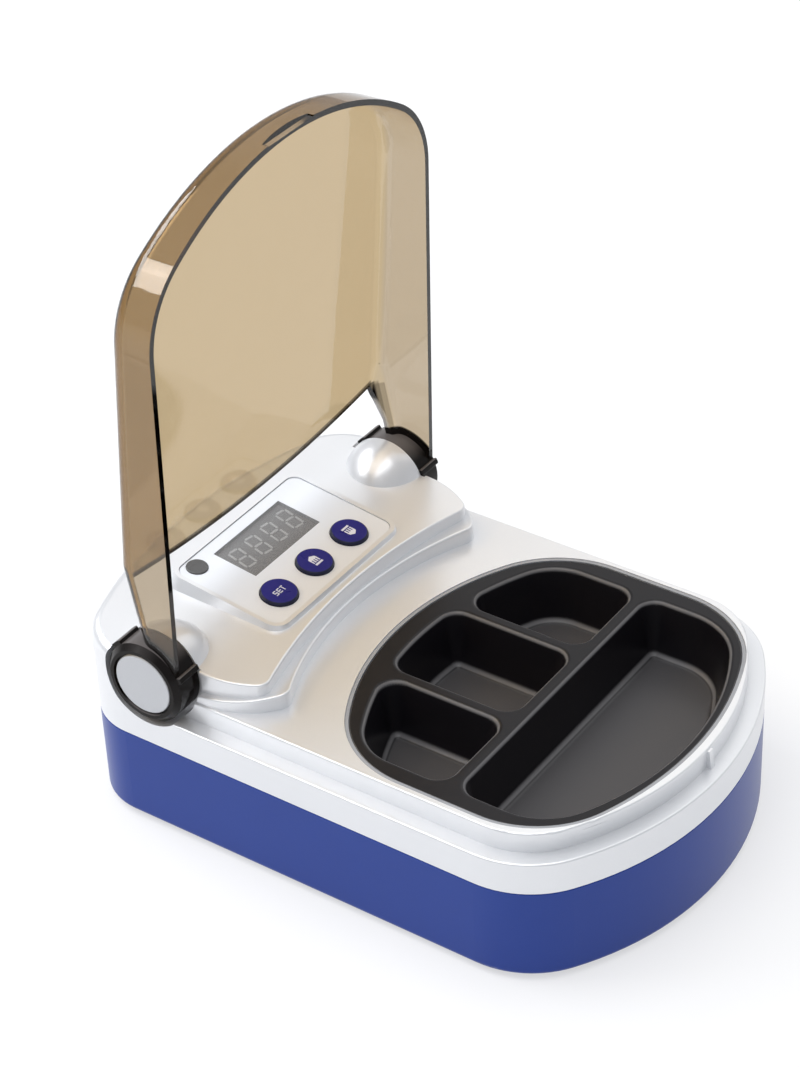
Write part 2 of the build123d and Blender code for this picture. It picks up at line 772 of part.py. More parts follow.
# ---------- smoked lid, drawn shut and then swung open ----------
LID_REAR_CORNER = (CASE_HALF_WIDTH - 9.6, LID_TIP - 5.55)
ARM_INNER_EDGE = (
    (CASE_HALF_WIDTH - 7.9, LID_TIP + 1.45),
    (CASE_HALF_WIDTH - 6.3, LID_TIP + 10.45),
)
ARM_END = HINGE_Y
FACET_START = (CASE_HALF_WIDTH - 2.4, LID_TIP - 24.8)
FACET_INNER = (CASE_HALF_WIDTH - 10.0, LID_TIP)
FACET_OUTER = (CASE_HALF_WIDTH - 2.4, LID_TIP + 14.2, 67.0)
GRIP_WIDTH = 25.0
GRIP_HEIGHT = 4.0
GRIP_DEPTH = 1.1
LUG_OUT = 17.55
LUG_ANGLES = (45.5, 157.0)
LUG_HALF_ANGLES = (8.0, 4.0)


def lid_top(drop):
    """Plane of the lid's top, sloping down to the front, or a parallel one below it."""
    return tilted_plane(LID_TIP, LID_TOP_AT_HINGE_END, LID_SLOPE).offset(-drop)


def on_lid_top(x, y):
    """Point of the lid's top plane over a spot in plan."""
    rise = (y - LID_TIP) * tan(radians(LID_SLOPE))
    return Vector(x, y, LID_TOP_AT_HINGE_END + rise)


def lid_facet(side, drop):
    """Plane that lowers the lid's outer edge toward a hinge arm."""
    start = on_lid_top(*FACET_START)
    across = Vector(*FACET_OUTER) - start
    along = on_lid_top(*FACET_INNER) - start
    normal = across.cross(along).normalized()
    if normal.Z < 0:
        normal = normal * -1
    origin = start - normal * drop
    return Plane(
        origin=(side * origin.X, origin.Y, origin.Z),
        z_dir=(side * normal.X, normal.Y, normal.Z),
    )


def lid_block(drop, radius):
    """The lid's outer shape, or the hollow a wall thickness inside it, edges rounded."""
    with BuildPart() as block:
        with BuildSketch(Plane.XY.offset(LID_RIM)):
            add(case_outline(LID_INSET + drop))
        extrude(amount=30, taper=LID_DRAFT)
        split(bisect_by=lid_top(drop), keep=Keep.BOTTOM)
        for side in EAST_WEST:
            split(bisect_by=lid_facet(side, drop), keep=Keep.BOTTOM)
        split(bisect_by=Plane.XZ.offset(-ARM_END), keep=Keep.TOP)
        rims = block.edges().filter_by(
            lambda edge: edge.center().Z > 62 and edge.center().Y < ARM_END - 0.5
        )
        fillet(rims, radius)
    return block.part


def lid_clearance():
    """Plan of everything cut away behind the lid's rear edge and between its arms."""
    corner_x, corner_y = LID_REAR_CORNER
    far = CASE_HALF_LENGTH
    with BuildSketch() as sketch:
        with BuildLine():
            ThreePointArc((-corner_x, corner_y), (0, LID_TIP), (corner_x, corner_y))
            for side in EAST_WEST:
                path = [(side * corner_x, corner_y)]
                for x, y in ARM_INNER_EDGE:
                    path.append((side * x, y))
                path.append((side * ARM_INNER_EDGE[-1][0], far))
                Polyline(*path)
            Line((-ARM_INNER_EDGE[-1][0], far), (ARM_INNER_EDGE[-1][0], far))
        make_face()
    return sketch.sketch


def lug(angle, half_angle):
    """A low key on the drum, at an angle from +Y toward +Z with the lid open."""
    with BuildPart() as body:
        with BuildSketch(Plane.YZ.offset(DRUM_IN)):
            with Locations((HINGE_Y, HINGE_Z)):
                Circle(LUG_OUT)
                Circle(DRUM_RADIUS - 1, mode=Mode.SUBTRACT)
                reach = 2 * LUG_OUT
                wedge = reach * tan(radians(half_angle))
                Polygon(
                    (0, 0), (reach, -wedge), (reach, wedge),
                    rotation=angle, align=None, mode=Mode.INTERSECT,
                )
        extrude(amount=DRUM_OUT - DRUM_IN - DRUM_BEVEL)
        fillet(body.edges().filter_by(Axis.X).group_by(radial_distance)[-1], 0.5)
    return body.part


def radial_distance(edge):
    spot = edge.center()
    return round(sqrt((spot.Y - HINGE_Y) ** 2 + (spot.Z - HINGE_Z) ** 2), 2)


def grip():
    """Finger scoop in the outer face of the lid's front, at the rim."""
    front = -CASE_HALF_LENGTH + LID_INSET
    with BuildPart() as body:
        with BuildSketch(Plane.YZ.offset(-GRIP_WIDTH / 2)):
            with BuildLine():
                Polyline(
                    (front - 3, LID_RIM - 1),
                    (front + GRIP_DEPTH, LID_RIM - 1),
                    (front + GRIP_DEPTH, LID_RIM + GRIP_HEIGHT * 0.5),
                    (front, LID_RIM + GRIP_HEIGHT),
                    (front - 3, LID_RIM + GRIP_HEIGHT),
                    close=True,
                )
            make_face()
        extrude(amount=GRIP_WIDTH)
    return body.part


def swing_open(part):
    line = Axis((0, HINGE_Y, HINGE_Z), (1, 0, 0))
    return part.rotate(line, -OPEN_ANGLE)


def build_lid():
    with BuildPart() as lid:
        add(lid_block(0, LID_ROUND))
        add(lid_block(LID_WALL, LID_ROUND - 0.8 * LID_WALL), mode=Mode.SUBTRACT)
        add(grip(), mode=Mode.SUBTRACT)
        add(prism(lid_clearance(), LID_RIM - 1, 90), mode=Mode.SUBTRACT)
        for side in EAST_WEST:
            drum = drum_ring()
            if side < 0:
                drum = mirror(drum, Plane.YZ, mode=Mode.PRIVATE)
            add(drum)
        for side in EAST_WEST:
            bore = axle(DRUM_BORE, side * (DRUM_IN - 1), side * (DRUM_OUT + 1))
            add(bore, mode=Mode.SUBTRACT)
    return swing_open(lid.part)


def drum_ring():
    """Ring of the lid round one hinge, drawn with the lid shut."""
    with BuildPart() as drum:
        add(axle(DRUM_RADIUS, DRUM_IN, DRUM_OUT))
        chamfer(drum.edges().sort_by(Axis.X)[-1], DRUM_BEVEL)
        for angle, half_angle in zip(LUG_ANGLES, LUG_HALF_ANGLES):
            add(lug(angle + OPEN_ANGLE, half_angle))
    return drum.part


# ---------- hinge parts ----------
CAP_RADIUS = 11.8
CAP_THICK = 1.3
WASHER_RADIUS = 8.0
WASHER_THICK = 1.0


def build_hub(side):
    """Plug pressed into the lid ring; it turns on the pin."""
    with BuildPart() as hub:
        add(axle(DRUM_BORE - RUNNING_GAP, DRUM_IN + 0.3, HUB_OUT))
        chamfer(hub.edges().sort_by(Axis.X)[0], 0.5)
        add(axle(PIN_RADIUS + RUNNING_GAP, DRUM_IN, PIN_OUTER + 0.2), mode=Mode.SUBTRACT)
        socket = axle(WASHER_RADIUS + 0.4, DRUM_IN, NOTCH_FACE + WASHER_THICK + RUNNING_GAP)
        add(socket, mode=Mode.SUBTRACT)
    if side > 0:
        return hub.part
    return mirror(hub.part, Plane.YZ)


def build_cap(side):
    with BuildPart() as cap:
        add(axle(CAP_RADIUS, side * HUB_OUT, side * (HUB_OUT + CAP_THICK)))
        rim = cap.edges().sort_by(Axis.X)[-1 if side > 0 else 0]
        fillet(rim, 0.5)
    return cap.part


def build_pin(side):
    with BuildPart() as pin:
        add(axle(PIN_RADIUS, side * PIN_INNER, side * PIN_OUTER))
        chamfer(pin.edges().filter_by(GeomType.CIRCLE), 0.4)
    return pin.part


def build_washer(side):
    with BuildPart() as washer:
        add(axle(WASHER_RADIUS, side * NOTCH_FACE, side * (NOTCH_FACE + WASHER_THICK)))
        bore = axle(PIN_RADIUS, side * (NOTCH_FACE - 1), side * (NOTCH_FACE + 3))
        add(bore, mode=Mode.SUBTRACT)
    return washer.part


# ---------- key panel and what is behind it; depths are below the panel plane ----------
WINDOW_WIDTH = 39.4
WINDOW_HEIGHT = 19.2
WINDOW_SPOT = (0.4, 8.2)
WINDOW_THICK = 1.0
LAMP_SPOT = (-28.8, 17.9)
LAMP_HOLE = 4.2
LAMP_STEM = 3.0
LED_RADIUS = 2.2
BOARD_DEPTH = 11.0
PANEL_POSTS = ((-10.8, -20.0), (10.8, -20.0), (-32.0, 4.5), (32.0, 4.5))
PANEL_POST_RADIUS = 2.1
PANEL_SCREW_LENGTH = 4.0
KEY_RISE = 1.0
KEY_TRAVEL = 0.8
SWITCH_FLOOR = 0.8
PLUNGER_SPARE = 0.4
KEY_COLLAR = 8.2
KEY_COLLAR_THICK = 1.0
KEY_STEM = 2.0
SWITCH_BODY = 6.0
SWITCH_HEIGHT = 3.6
PLUNGER_RADIUS = 1.7
PLUNGER_RISE = 1.4
DIGIT_SPOTS = (-13.2, -3.65, 5.9, 15.45)
DIGIT_WIDTH = 5.0
DIGIT_HEIGHT = 10.7
DIGIT_V = 9.1
DIGIT_LEAN = 8.0
SEGMENT = 0.9
SEGMENT_SPACE = 0.12
SEGMENT_THICK = 0.15


def panel_plate(sketch, top, bottom):
    """A plate lying between two depths below the panel plane."""
    with BuildPart() as plate:
        with BuildSketch(PANEL.offset(-bottom)):
            add(sketch)
        extrude(amount=bottom - top)
    return plate.part


def disc(spot, radius):
    with BuildSketch() as sketch:
        with Locations(spot):
            Circle(radius)
    return sketch.sketch


def box_sketch(spot, width, height, corner=0.0):
    with BuildSketch() as sketch:
        with Locations(spot):
            if corner:
                RectangleRounded(width, height, corner)
            else:
                Rectangle(width, height)
    return sketch.sketch


def key_spots():
    return [(place * KEY_PITCH, KEY_V) for place in (-1, 0, 1)]


def build_control_panel():
    top = PANEL_SET_DOWN
    bottom = top + PANEL_THICK
    margin = PANEL_RIM + FIT_GAP
    with BuildPart() as panel:
        outline = panel_rectangle(margin, PLINTH_CORNER - margin)
        add(panel_plate(outline, top, bottom))
        chamfer(panel.faces().sort_by(Axis.Z)[-1].outer_wire().edges(), 0.2)
        for spot in PANEL_POSTS:
            add(panel_plate(disc(spot, PANEL_POST_RADIUS), bottom - 0.5, BOARD_DEPTH))
        for spot in PANEL_POSTS:
            pilot = disc(spot, 0.9)
            add(panel_plate(pilot, BOARD_DEPTH - 5, BOARD_DEPTH + 1), mode=Mode.SUBTRACT)
        for spot in key_spots():
            add(panel_plate(disc(spot, KEY_HOLE), -1, bottom + 1), mode=Mode.SUBTRACT)
        add(panel_plate(disc(LAMP_SPOT, LAMP_HOLE), -1, bottom + 1), mode=Mode.SUBTRACT)
        opening = box_sketch(WINDOW_SPOT, WINDOW_WIDTH, WINDOW_HEIGHT)
        add(panel_plate(opening, -1, bottom + 1), mode=Mode.SUBTRACT)
    return panel.part


def build_window():
    width = WINDOW_WIDTH - 2 * FIT_GAP
    height = WINDOW_HEIGHT - 2 * FIT_GAP
    pane = box_sketch(WINDOW_SPOT, width, height)
    return panel_plate(pane, PANEL_SET_DOWN, PANEL_SET_DOWN + WINDOW_THICK)


def display_face():
    """Depth of the display module's face."""
    return PANEL_SET_DOWN + WINDOW_THICK + SEGMENT_THICK + RUNNING_GAP


def build_display_module():
    body = box_sketch(WINDOW_SPOT, WINDOW_WIDTH - 0.8, WINDOW_HEIGHT - 0.8)
    return panel_plate(body, display_face(), BOARD_DEPTH)


def digit_sketch(centre):
    """Seven thin bars of one leaning digit."""
    half_width = DIGIT_WIDTH / 2
    half_height = DIGIT_HEIGHT / 2
    flat = DIGIT_WIDTH - SEGMENT - 2 * SEGMENT_SPACE
    tall = half_height - SEGMENT - 2 * SEGMENT_SPACE
    with BuildSketch() as sketch:
        with Locations((0, half_height - 0.3), (0, 0), (0, 0.3 - half_height)):
            SlotOverall(flat, SEGMENT)
        quarter = half_height / 2
        with Locations(*[(a * half_width, b * quarter) for a in EAST_WEST for b in EAST_WEST]):
            SlotOverall(tall, SEGMENT, rotation=90)
    return Pos(centre, DIGIT_V) * Rot(0, 0, -DIGIT_LEAN) * sketch.sketch


def build_digits():
    with BuildPart() as digits:
        for centre in DIGIT_SPOTS:
            bars = digit_sketch(centre)
            add(panel_plate(bars, display_face() - SEGMENT_THICK, display_face()))
    return digits.part


def build_lamp_lens():
    with BuildPart() as lens:
        head = disc(LAMP_SPOT, LAMP_HOLE - FIT_GAP)
        under = PANEL_SET_DOWN + PANEL_THICK
        add(panel_plate(head, PANEL_SET_DOWN - 0.5, under))
        fillet(lens.faces().sort_by(Axis.Z)[-1].edges(), 0.4)
        add(panel_plate(disc(LAMP_SPOT, LAMP_STEM), under - 0.5, BOARD_DEPTH))
        bore = disc(LAMP_SPOT, LED_RADIUS + FIT_GAP)
        add(panel_plate(bore, 5.0, BOARD_DEPTH + 1), mode=Mode.SUBTRACT)
    return lens.part


def build_lamp():
    with BuildPart() as lamp:
        add(panel_plate(disc(LAMP_SPOT, LED_RADIUS), 5.4, BOARD_DEPTH))
        fillet(lamp.faces().sort_by(Axis.Z)[-1].edges(), 1.8)
    return lamp.part


def plunger_top():
    """Depth at which a key's stem meets its plunger."""
    return BOARD_DEPTH - SWITCH_HEIGHT - PLUNGER_RISE


def build_key(spot):
    collar_top = PANEL_SET_DOWN + PANEL_THICK + RUNNING_GAP
    with BuildPart() as key:
        add(panel_plate(disc(spot, KEY_HOLE - SLIDE_GAP), -KEY_RISE, collar_top + 0.5))
        fillet(key.faces().sort_by(Axis.Z)[-1].edges(), 0.8)
        add(panel_plate(disc(spot, KEY_COLLAR), collar_top, collar_top + KEY_COLLAR_THICK))
        add(panel_plate(disc(spot, KEY_STEM), collar_top, plunger_top()))
    return key.part


def build_plunger(spot):
    bottom = BOARD_DEPTH - SWITCH_FLOOR - KEY_TRAVEL - PLUNGER_SPARE
    return panel_plate(disc(spot, PLUNGER_RADIUS), plunger_top(), bottom)


def build_key_switches():
    body_top = BOARD_DEPTH - SWITCH_HEIGHT
    with BuildPart() as switches:
        for spot in key_spots():
            add(panel_plate(box_sketch(spot, SWITCH_BODY, SWITCH_BODY), body_top, BOARD_DEPTH))
        for spot in key_spots():
            bore = disc(spot, PLUNGER_RADIUS + RUNNING_GAP)
            floor = BOARD_DEPTH - SWITCH_FLOOR
            add(panel_plate(bore, body_top - 1, floor), mode=Mode.SUBTRACT)
    return switches.part


def build_control_board():
    under = BOARD_DEPTH + BOARD_THICK
    margin = PANEL_RIM + PANEL_LIP + 0.4
    with BuildPart() as board:
        add(panel_plate(panel_rectangle(margin, 2.5), BOARD_DEPTH, under))
        for spot in PANEL_POSTS:
            hole = disc(spot, 1.2)
            add(panel_plate(hole, BOARD_DEPTH - 1, under + 1), mode=Mode.SUBTRACT)
    return board.part


def build_control_board_screws():
    under = BOARD_DEPTH + BOARD_THICK
    with BuildPart() as screws:
        for spot in PANEL_POSTS:
            add(panel_plate(disc(spot, 2.0), under, under + 1.4))
            add(panel_plate(disc(spot, 0.85), BOARD_DEPTH - PANEL_SCREW_LENGTH, under))
    return screws.part


# ---------- power board and rear connectors ----------
CORE_SPOT = (-23.0, BOARD_REAR - 34.0)
CORE_WIDTH = 42.0
CORE_DEPTH = 16.0
CORE_HEIGHT = 35.0
LEG = 7.0
COIL_DEPTH = 30.0
SINK_SPOT = (24.0, BOARD_REAR - 52.0)
SINK_WIDTH = 30.0
SINK_PLATE = 3.0
SINK_HEIGHT = 26.0
FIN_COUNT = 6
FIN_THICK = 1.8
FIN_DEPTH = 11.0
TRIAC_SIZE = (10.0, 4.6, 15.0)
TRIAC_LIFT = 3.0
RELAY_SPOT = (36.0, BOARD_REAR - 28.0)
RELAY_SIZE = (19.0, 15.5, 15.0)
CAPACITOR_SPOTS = ((13.0, BOARD_REAR - 32.0), (13.0, BOARD_REAR - 18.0))
CAPACITOR_RADIUS = 5.0
CAPACITOR_HEIGHT = 17.0
TERMINAL_SPOT = (-19.0, BOARD_REAR - 12.0)
BOARD_SCREW_LENGTH = 6.0
RIBBON_X = 22.0
RIBBON_WIDTH = 12.0
RIBBON_THICK = 1.0
RIBBON_FOOT_Y = BOARD_REAR - 7.4
RIBBON_BENDS_Z = (30.0, 44.0)
FLANGE_MARGIN = 1.8
FLANGE_THICK = 1.8
PIN_X = (-7.0, 0.0, 7.0)
PIN_LIFT = 2.0
PIN_THICK = 2.0
PIN_WIDE = 4.0
SOCKET_HALF_WIDTH = 11.8
SOCKET_TOP_HALF = 7.5
SOCKET_HALF_HEIGHT = 8.0
SOCKET_SHOULDER = 3.5
SOCKET_DEPTH = 16.0
INLET_DEPTH = 20.0
INLET_TAGS = 26.0
SWITCH_DEPTH = 14.0
SWITCH_TAGS = 7.0
SWITCH_TAG_Z = 5.0
ROCKER_HOLE_HALF = (5.2, 8.3)
ROCKER_HOLE_DEPTH = 10.0
TERMINAL_PITCH = 6.0
TERMINAL_COUNT = 5
TERMINAL_DEPTH = 9.0
TERMINAL_HOLE = 2.0
TERMINAL_HEIGHT = 11.0
TERMINAL_BORE = 3.0


def board_top():
    return BOARD_Z + BOARD_THICK


def standing_box(spot, width, depth, low, height):
    x, y = spot
    return box_between(
        (x - width / 2, y - depth / 2, low), (x + width / 2, y + depth / 2, low + height)
    )


def build_power_board():
    with BuildPart() as board:
        add(box_between(
            (-BOARD_HALF_WIDTH, BOARD_REAR - BOARD_LENGTH, BOARD_Z),
            (BOARD_HALF_WIDTH, BOARD_REAR, board_top()),
        ))
        with BuildSketch(Plane.XY.offset(BOARD_Z)):
            with Locations(*both_sides(BOARD_POSTS)):
                Circle(PILOT + 0.3)
        extrude(amount=BOARD_THICK, mode=Mode.SUBTRACT)
    return board.part


def build_power_board_screws():
    shank = PILOT - RUNNING_GAP
    head = (SMALL_HEAD_RADIUS, SMALL_HEAD_HEIGHT)
    spots = both_sides(BOARD_POSTS)
    return screw_set(spots, board_top(), *head, shank, BOARD_SCREW_LENGTH, False)


def build_transformer_core():
    x, y = CORE_SPOT
    low = board_top()
    window = (CORE_WIDTH - 4 * LEG) / 2
    with BuildPart() as core:
        add(standing_box(CORE_SPOT, CORE_WIDTH, CORE_DEPTH, low, CORE_HEIGHT))
        for side in EAST_WEST:
            spot = (x + side * (LEG + window / 2), y)
            hole = standing_box(spot, window, 2 * CORE_DEPTH, low + LEG, CORE_HEIGHT - 2 * LEG)
            add(hole, mode=Mode.SUBTRACT)
    return core.part


def build_transformer_coil():
    window = (CORE_WIDTH - 4 * LEG) / 2
    low = board_top() + LEG + FIT_GAP
    height = CORE_HEIGHT - 2 * LEG - 2 * FIT_GAP
    width = 2 * (LEG + window - FIT_GAP)
    with BuildPart() as coil:
        add(standing_box(CORE_SPOT, width, COIL_DEPTH, low, height))
        fillet(coil.edges().filter_by(Axis.Z), 2.0)
        core = standing_box(
            CORE_SPOT, 2 * (LEG + FIT_GAP), CORE_DEPTH + 2 * FIT_GAP, low - 1, height + 2
        )
        add(core, mode=Mode.SUBTRACT)
    return coil.part


def build_heat_sink():
    x, y = SINK_SPOT
    low = board_top()
    pitch = (SINK_WIDTH - FIN_THICK) / (FIN_COUNT - 1)
    with BuildPart() as sink:
        plate = (x, y + FIN_DEPTH / 2)
        add(standing_box(plate, SINK_WIDTH, SINK_PLATE, low, SINK_HEIGHT))
        for place in range(FIN_COUNT):
            spot = (x + (place - (FIN_COUNT - 1) / 2) * pitch, y - 0.5)
            add(standing_box(spot, FIN_THICK, FIN_DEPTH, low, SINK_HEIGHT))
    return sink.part


def build_triac():
    x, y = SINK_SPOT
    width, depth, height = TRIAC_SIZE
    spot = (x, y + (FIN_DEPTH + SINK_PLATE + depth) / 2)
    return standing_box(spot, width, depth, board_top() + TRIAC_LIFT, height)


def build_relay():
    with BuildPart() as relay:
        width, depth, height = RELAY_SIZE
        add(standing_box(RELAY_SPOT, width, depth, board_top(), height))
        fillet(relay.edges().filter_by(Axis.Z), 0.8)
    return relay.part


def build_capacitors():
    with BuildPart() as cans:
        with BuildSketch(Plane.XY.offset(board_top())):
            with Locations(*CAPACITOR_SPOTS):
                Circle(CAPACITOR_RADIUS)
        extrude(amount=CAPACITOR_HEIGHT)
        fillet(cans.edges().group_by(Axis.Z)[-1], 0.8)
    return cans.part


def build_terminal_block():
    low = board_top()
    with BuildPart() as block:
        width = TERMINAL_COUNT * TERMINAL_PITCH
        add(standing_box(TERMINAL_SPOT, width, TERMINAL_DEPTH, low, TERMINAL_HEIGHT))
        with BuildSketch(Plane.XY.offset(low + TERMINAL_HEIGHT)):
            with Locations(TERMINAL_SPOT):
                with GridLocations(TERMINAL_PITCH, 1, TERMINAL_COUNT, 1):
                    Circle(TERMINAL_HOLE)
        extrude(amount=-TERMINAL_BORE, mode=Mode.SUBTRACT)
    return block.part


def build_inlet():
    flange_back = POCKET_Y
    half_width = INLET_HALF_WIDTH - FIT_GAP
    half_height = INLET_HALF_HEIGHT - FIT_GAP
    with BuildPart() as inlet:
        add(box_between(
            (INLET_X - half_width - FLANGE_MARGIN, flange_back, INLET_Z - half_height - FLANGE_MARGIN),
            (INLET_X + half_width + FLANGE_MARGIN, flange_back + FLANGE_THICK,
             INLET_Z + half_height + FLANGE_MARGIN),
        ))
        fillet(inlet.edges().filter_by(Axis.Y), 1.5)
        add(box_between(
            (INLET_X - half_width, flange_back - INLET_DEPTH, INLET_Z - half_height),
            (INLET_X + half_width, flange_back, INLET_Z + half_height),
        ))
        # socket recess with the two upper corners cut
        mouth = flange_back + FLANGE_THICK
        with BuildSketch(Plane.ZX.offset(mouth)):
            with BuildLine():
                Polyline(
                    (INLET_Z - SOCKET_HALF_HEIGHT, INLET_X - SOCKET_HALF_WIDTH),
                    (INLET_Z - SOCKET_HALF_HEIGHT, INLET_X + SOCKET_HALF_WIDTH),
                    (INLET_Z + SOCKET_SHOULDER, INLET_X + SOCKET_HALF_WIDTH),
                    (INLET_Z + SOCKET_HALF_HEIGHT, INLET_X + SOCKET_TOP_HALF),
                    (INLET_Z + SOCKET_HALF_HEIGHT, INLET_X - SOCKET_TOP_HALF),
                    (INLET_Z + SOCKET_SHOULDER, INLET_X - SOCKET_HALF_WIDTH),
                    close=True,
                )
            make_face()
        extrude(amount=-SOCKET_DEPTH, mode=Mode.SUBTRACT)
        for offset in PIN_X:
            add(pin_blade(offset), mode=Mode.SUBTRACT)
    return inlet.part


def pin_blade(offset):
    """One flat pin of the inlet with its tag behind."""
    z = INLET_Z + (PIN_LIFT if offset == 0 else -PIN_LIFT)
    x = INLET_X + offset
    back = POCKET_Y - INLET_TAGS
    front = POCKET_Y - 3
    half_thick = PIN_THICK / 2
    half_wide = PIN_WIDE / 2
    return box_between((x - half_thick, back, z - half_wide), (x + half_thick, front, z + half_wide))


def build_inlet_pins():
    with BuildPart() as pins:
        for offset in PIN_X:
            add(pin_blade(offset))
    return pins.part


ROCKER_TILT = 8.0


def build_switch_frame():
    half_width = SWITCH_HALF_WIDTH - FIT_GAP
    half_height = SWITCH_HALF_HEIGHT - FIT_GAP
    rim = FLANGE_MARGIN - 0.6
    depth = SWITCH_DEPTH
    with BuildPart() as frame:
        add(box_between(
            (SWITCH_X - half_width - rim, POCKET_Y, INLET_Z - half_height - rim),
            (SWITCH_X + half_width + rim, POCKET_Y + FLANGE_THICK, INLET_Z + half_height + rim),
        ))
        fillet(frame.edges().filter_by(Axis.Y), 0.8)
        add(box_between(
            (SWITCH_X - half_width, POCKET_Y - depth, INLET_Z - half_height),
            (SWITCH_X + half_width, POCKET_Y, INLET_Z + half_height),
        ))
        hole_x, hole_z = ROCKER_HOLE_HALF
        add(box_between(
            (SWITCH_X - hole_x, POCKET_Y - ROCKER_HOLE_DEPTH, INLET_Z - hole_z),
            (SWITCH_X + hole_x, POCKET_Y + FLANGE_THICK + 1, INLET_Z + hole_z),
        ), mode=Mode.SUBTRACT)
        for lift in (-SWITCH_TAG_Z, SWITCH_TAG_Z):
            add(box_between(
                (SWITCH_X - 2.4, POCKET_Y - depth - SWITCH_TAGS, INLET_Z + lift - 0.4),
                (SWITCH_X + 2.4, POCKET_Y - depth + 1, INLET_Z + lift + 0.4),
            ))
    return frame.part


ROCKER_Y = POCKET_Y - 1.6
ROCKER_HALF = 7.6
ROCKER_FACE = 3.4
ROCKER_WAIST = 2.4
ROCKER_WIDTH = 9.8


def build_rocker():
    """Rocker pressed at its lower half; it turns about a line across the switch."""
    with BuildPart() as rocker:
        with BuildSketch(Plane.YZ.offset(SWITCH_X - ROCKER_WIDTH / 2)):
            with BuildLine():
                Polyline(
                    (ROCKER_Y + ROCKER_WAIST, INLET_Z),
                    (ROCKER_Y + ROCKER_FACE, INLET_Z + ROCKER_HALF),
                    (ROCKER_Y - 1.6, INLET_Z + ROCKER_HALF),
                    (ROCKER_Y - 4.0, INLET_Z + 2.5),
                    (ROCKER_Y - 4.0, INLET_Z - 2.5),
                    (ROCKER_Y - 1.6, INLET_Z - ROCKER_HALF),
                    (ROCKER_Y + ROCKER_FACE, INLET_Z - ROCKER_HALF),
                    close=True,
                )
            make_face()
        extrude(amount=ROCKER_WIDTH)
    line = Axis((0, ROCKER_Y, INLET_Z), (1, 0, 0))
    return rocker.part.rotate(line, -ROCKER_TILT)


# ---------- wiring ----------
def wire(points, radius, bend):
    """A round lead following straight runs with rounded bends."""
    with BuildPart() as lead:
        with BuildLine() as path:
            FilletPolyline(*points, radius=bend)
        with BuildSketch(Plane(origin=path.line @ 0, z_dir=path.line % 0)):
            Circle(radius)
        sweep(transition=Transition.ROUND)
    return lead.part


def terminal_hole(order):
    """Bottom of one screw hole in the terminal block, counted from the left."""
    x, y = TERMINAL_SPOT
    return (x + TERMINAL_PITCH * (order - 2), y, board_top() + TERMINAL_HEIGHT - TERMINAL_BORE)


def build_heater_leads():
    start = POT_UNDER - HEATER_THICK / 2
    with BuildPart() as leads:
        for order, x in enumerate(LEAD_SPOTS):
            hole = terminal_hole(4 - order)
            high = start + 2 * order
            add(wire(
                [(x, HEATER_TAIL + RUNNING_GAP, start), (x, hole[1] - 8, high),
                 (hole[0], hole[1], high), hole],
                LEAD_RADIUS, 3.0,
            ))
    return leads.part


def build_ribbon():
    under = PANEL.offset(-BOARD_DEPTH - BOARD_THICK)
    start = under.from_local_coords((RIBBON_X, 4.0, 0))
    end = under.from_local_coords((RIBBON_X, 4.0 + RIBBON_THICK, 0))
    foot = RIBBON_FOOT_Y
    low, high = RIBBON_BENDS_Z
    with BuildPart() as ribbon:
        with BuildSketch(Plane.YZ.offset(RIBBON_X - RIBBON_WIDTH / 2)):
            with BuildLine():
                Polyline(
                    (start.Y, start.Z), (end.Y, end.Z), (end.Y + 2.0, high),
                    (foot, low), (foot, board_top()), (foot - RIBBON_THICK, board_top()),
                    (foot - RIBBON_THICK, low + 0.2), (end.Y + 1.0, high - 0.2),
                    close=True,
                )
            make_face()
        extrude(amount=RIBBON_WIDTH)
    return ribbon.part


def build_mains_leads():
    tag = POCKET_Y - INLET_TAGS - RUNNING_GAP
    switch_tag = POCKET_Y - SWITCH_DEPTH - SWITCH_TAGS - RUNNING_GAP
    left = INLET_X + PIN_X[0]
    right = INLET_X + PIN_X[2]
    outer_z = INLET_Z - 2
    high = 30.0
    neutral = terminal_hole(0)
    live = terminal_hole(2)
    with BuildPart() as leads:
        add(wire(
            [(left, tag, outer_z), (left, tag - 4, outer_z), (left, tag - 4, high),
             (neutral[0], neutral[1], high), neutral],
            LEAD_RADIUS, 1.2,
        ))
        add(wire(
            [(right, tag, outer_z), (right, tag - 3, outer_z),
             (SWITCH_X, tag - 3, INLET_Z - SWITCH_TAG_Z), (SWITCH_X, switch_tag, INLET_Z - SWITCH_TAG_Z)],
            LEAD_RADIUS, 1.2,
        ))
        add(wire(
            [(SWITCH_X, switch_tag, INLET_Z + SWITCH_TAG_Z),
             (SWITCH_X, switch_tag - 6, INLET_Z + SWITCH_TAG_Z),
             (live[0], switch_tag - 9, high), (live[0], live[1], high), live],
            LEAD_RADIUS, 1.2,
        ))
    return leads.part


# ---------- build everything ----------
def keys_and_plungers():
    for name, spot in zip(("set", "up", "down"), key_spots()):
        save(build_key(spot), "button_" + name)
        save(build_plunger(spot), name + "_plunger")


def hinge_parts():
    for name, side in (("right", 1), ("left", -1)):
        save(build_hub(side), name + "_hinge_hub")
        save(build_cap(side), name + "_hinge_cap")
        save(build_pin(side), name + "_hinge_pin")
        save(build_washer(side), name + "_friction_washer")


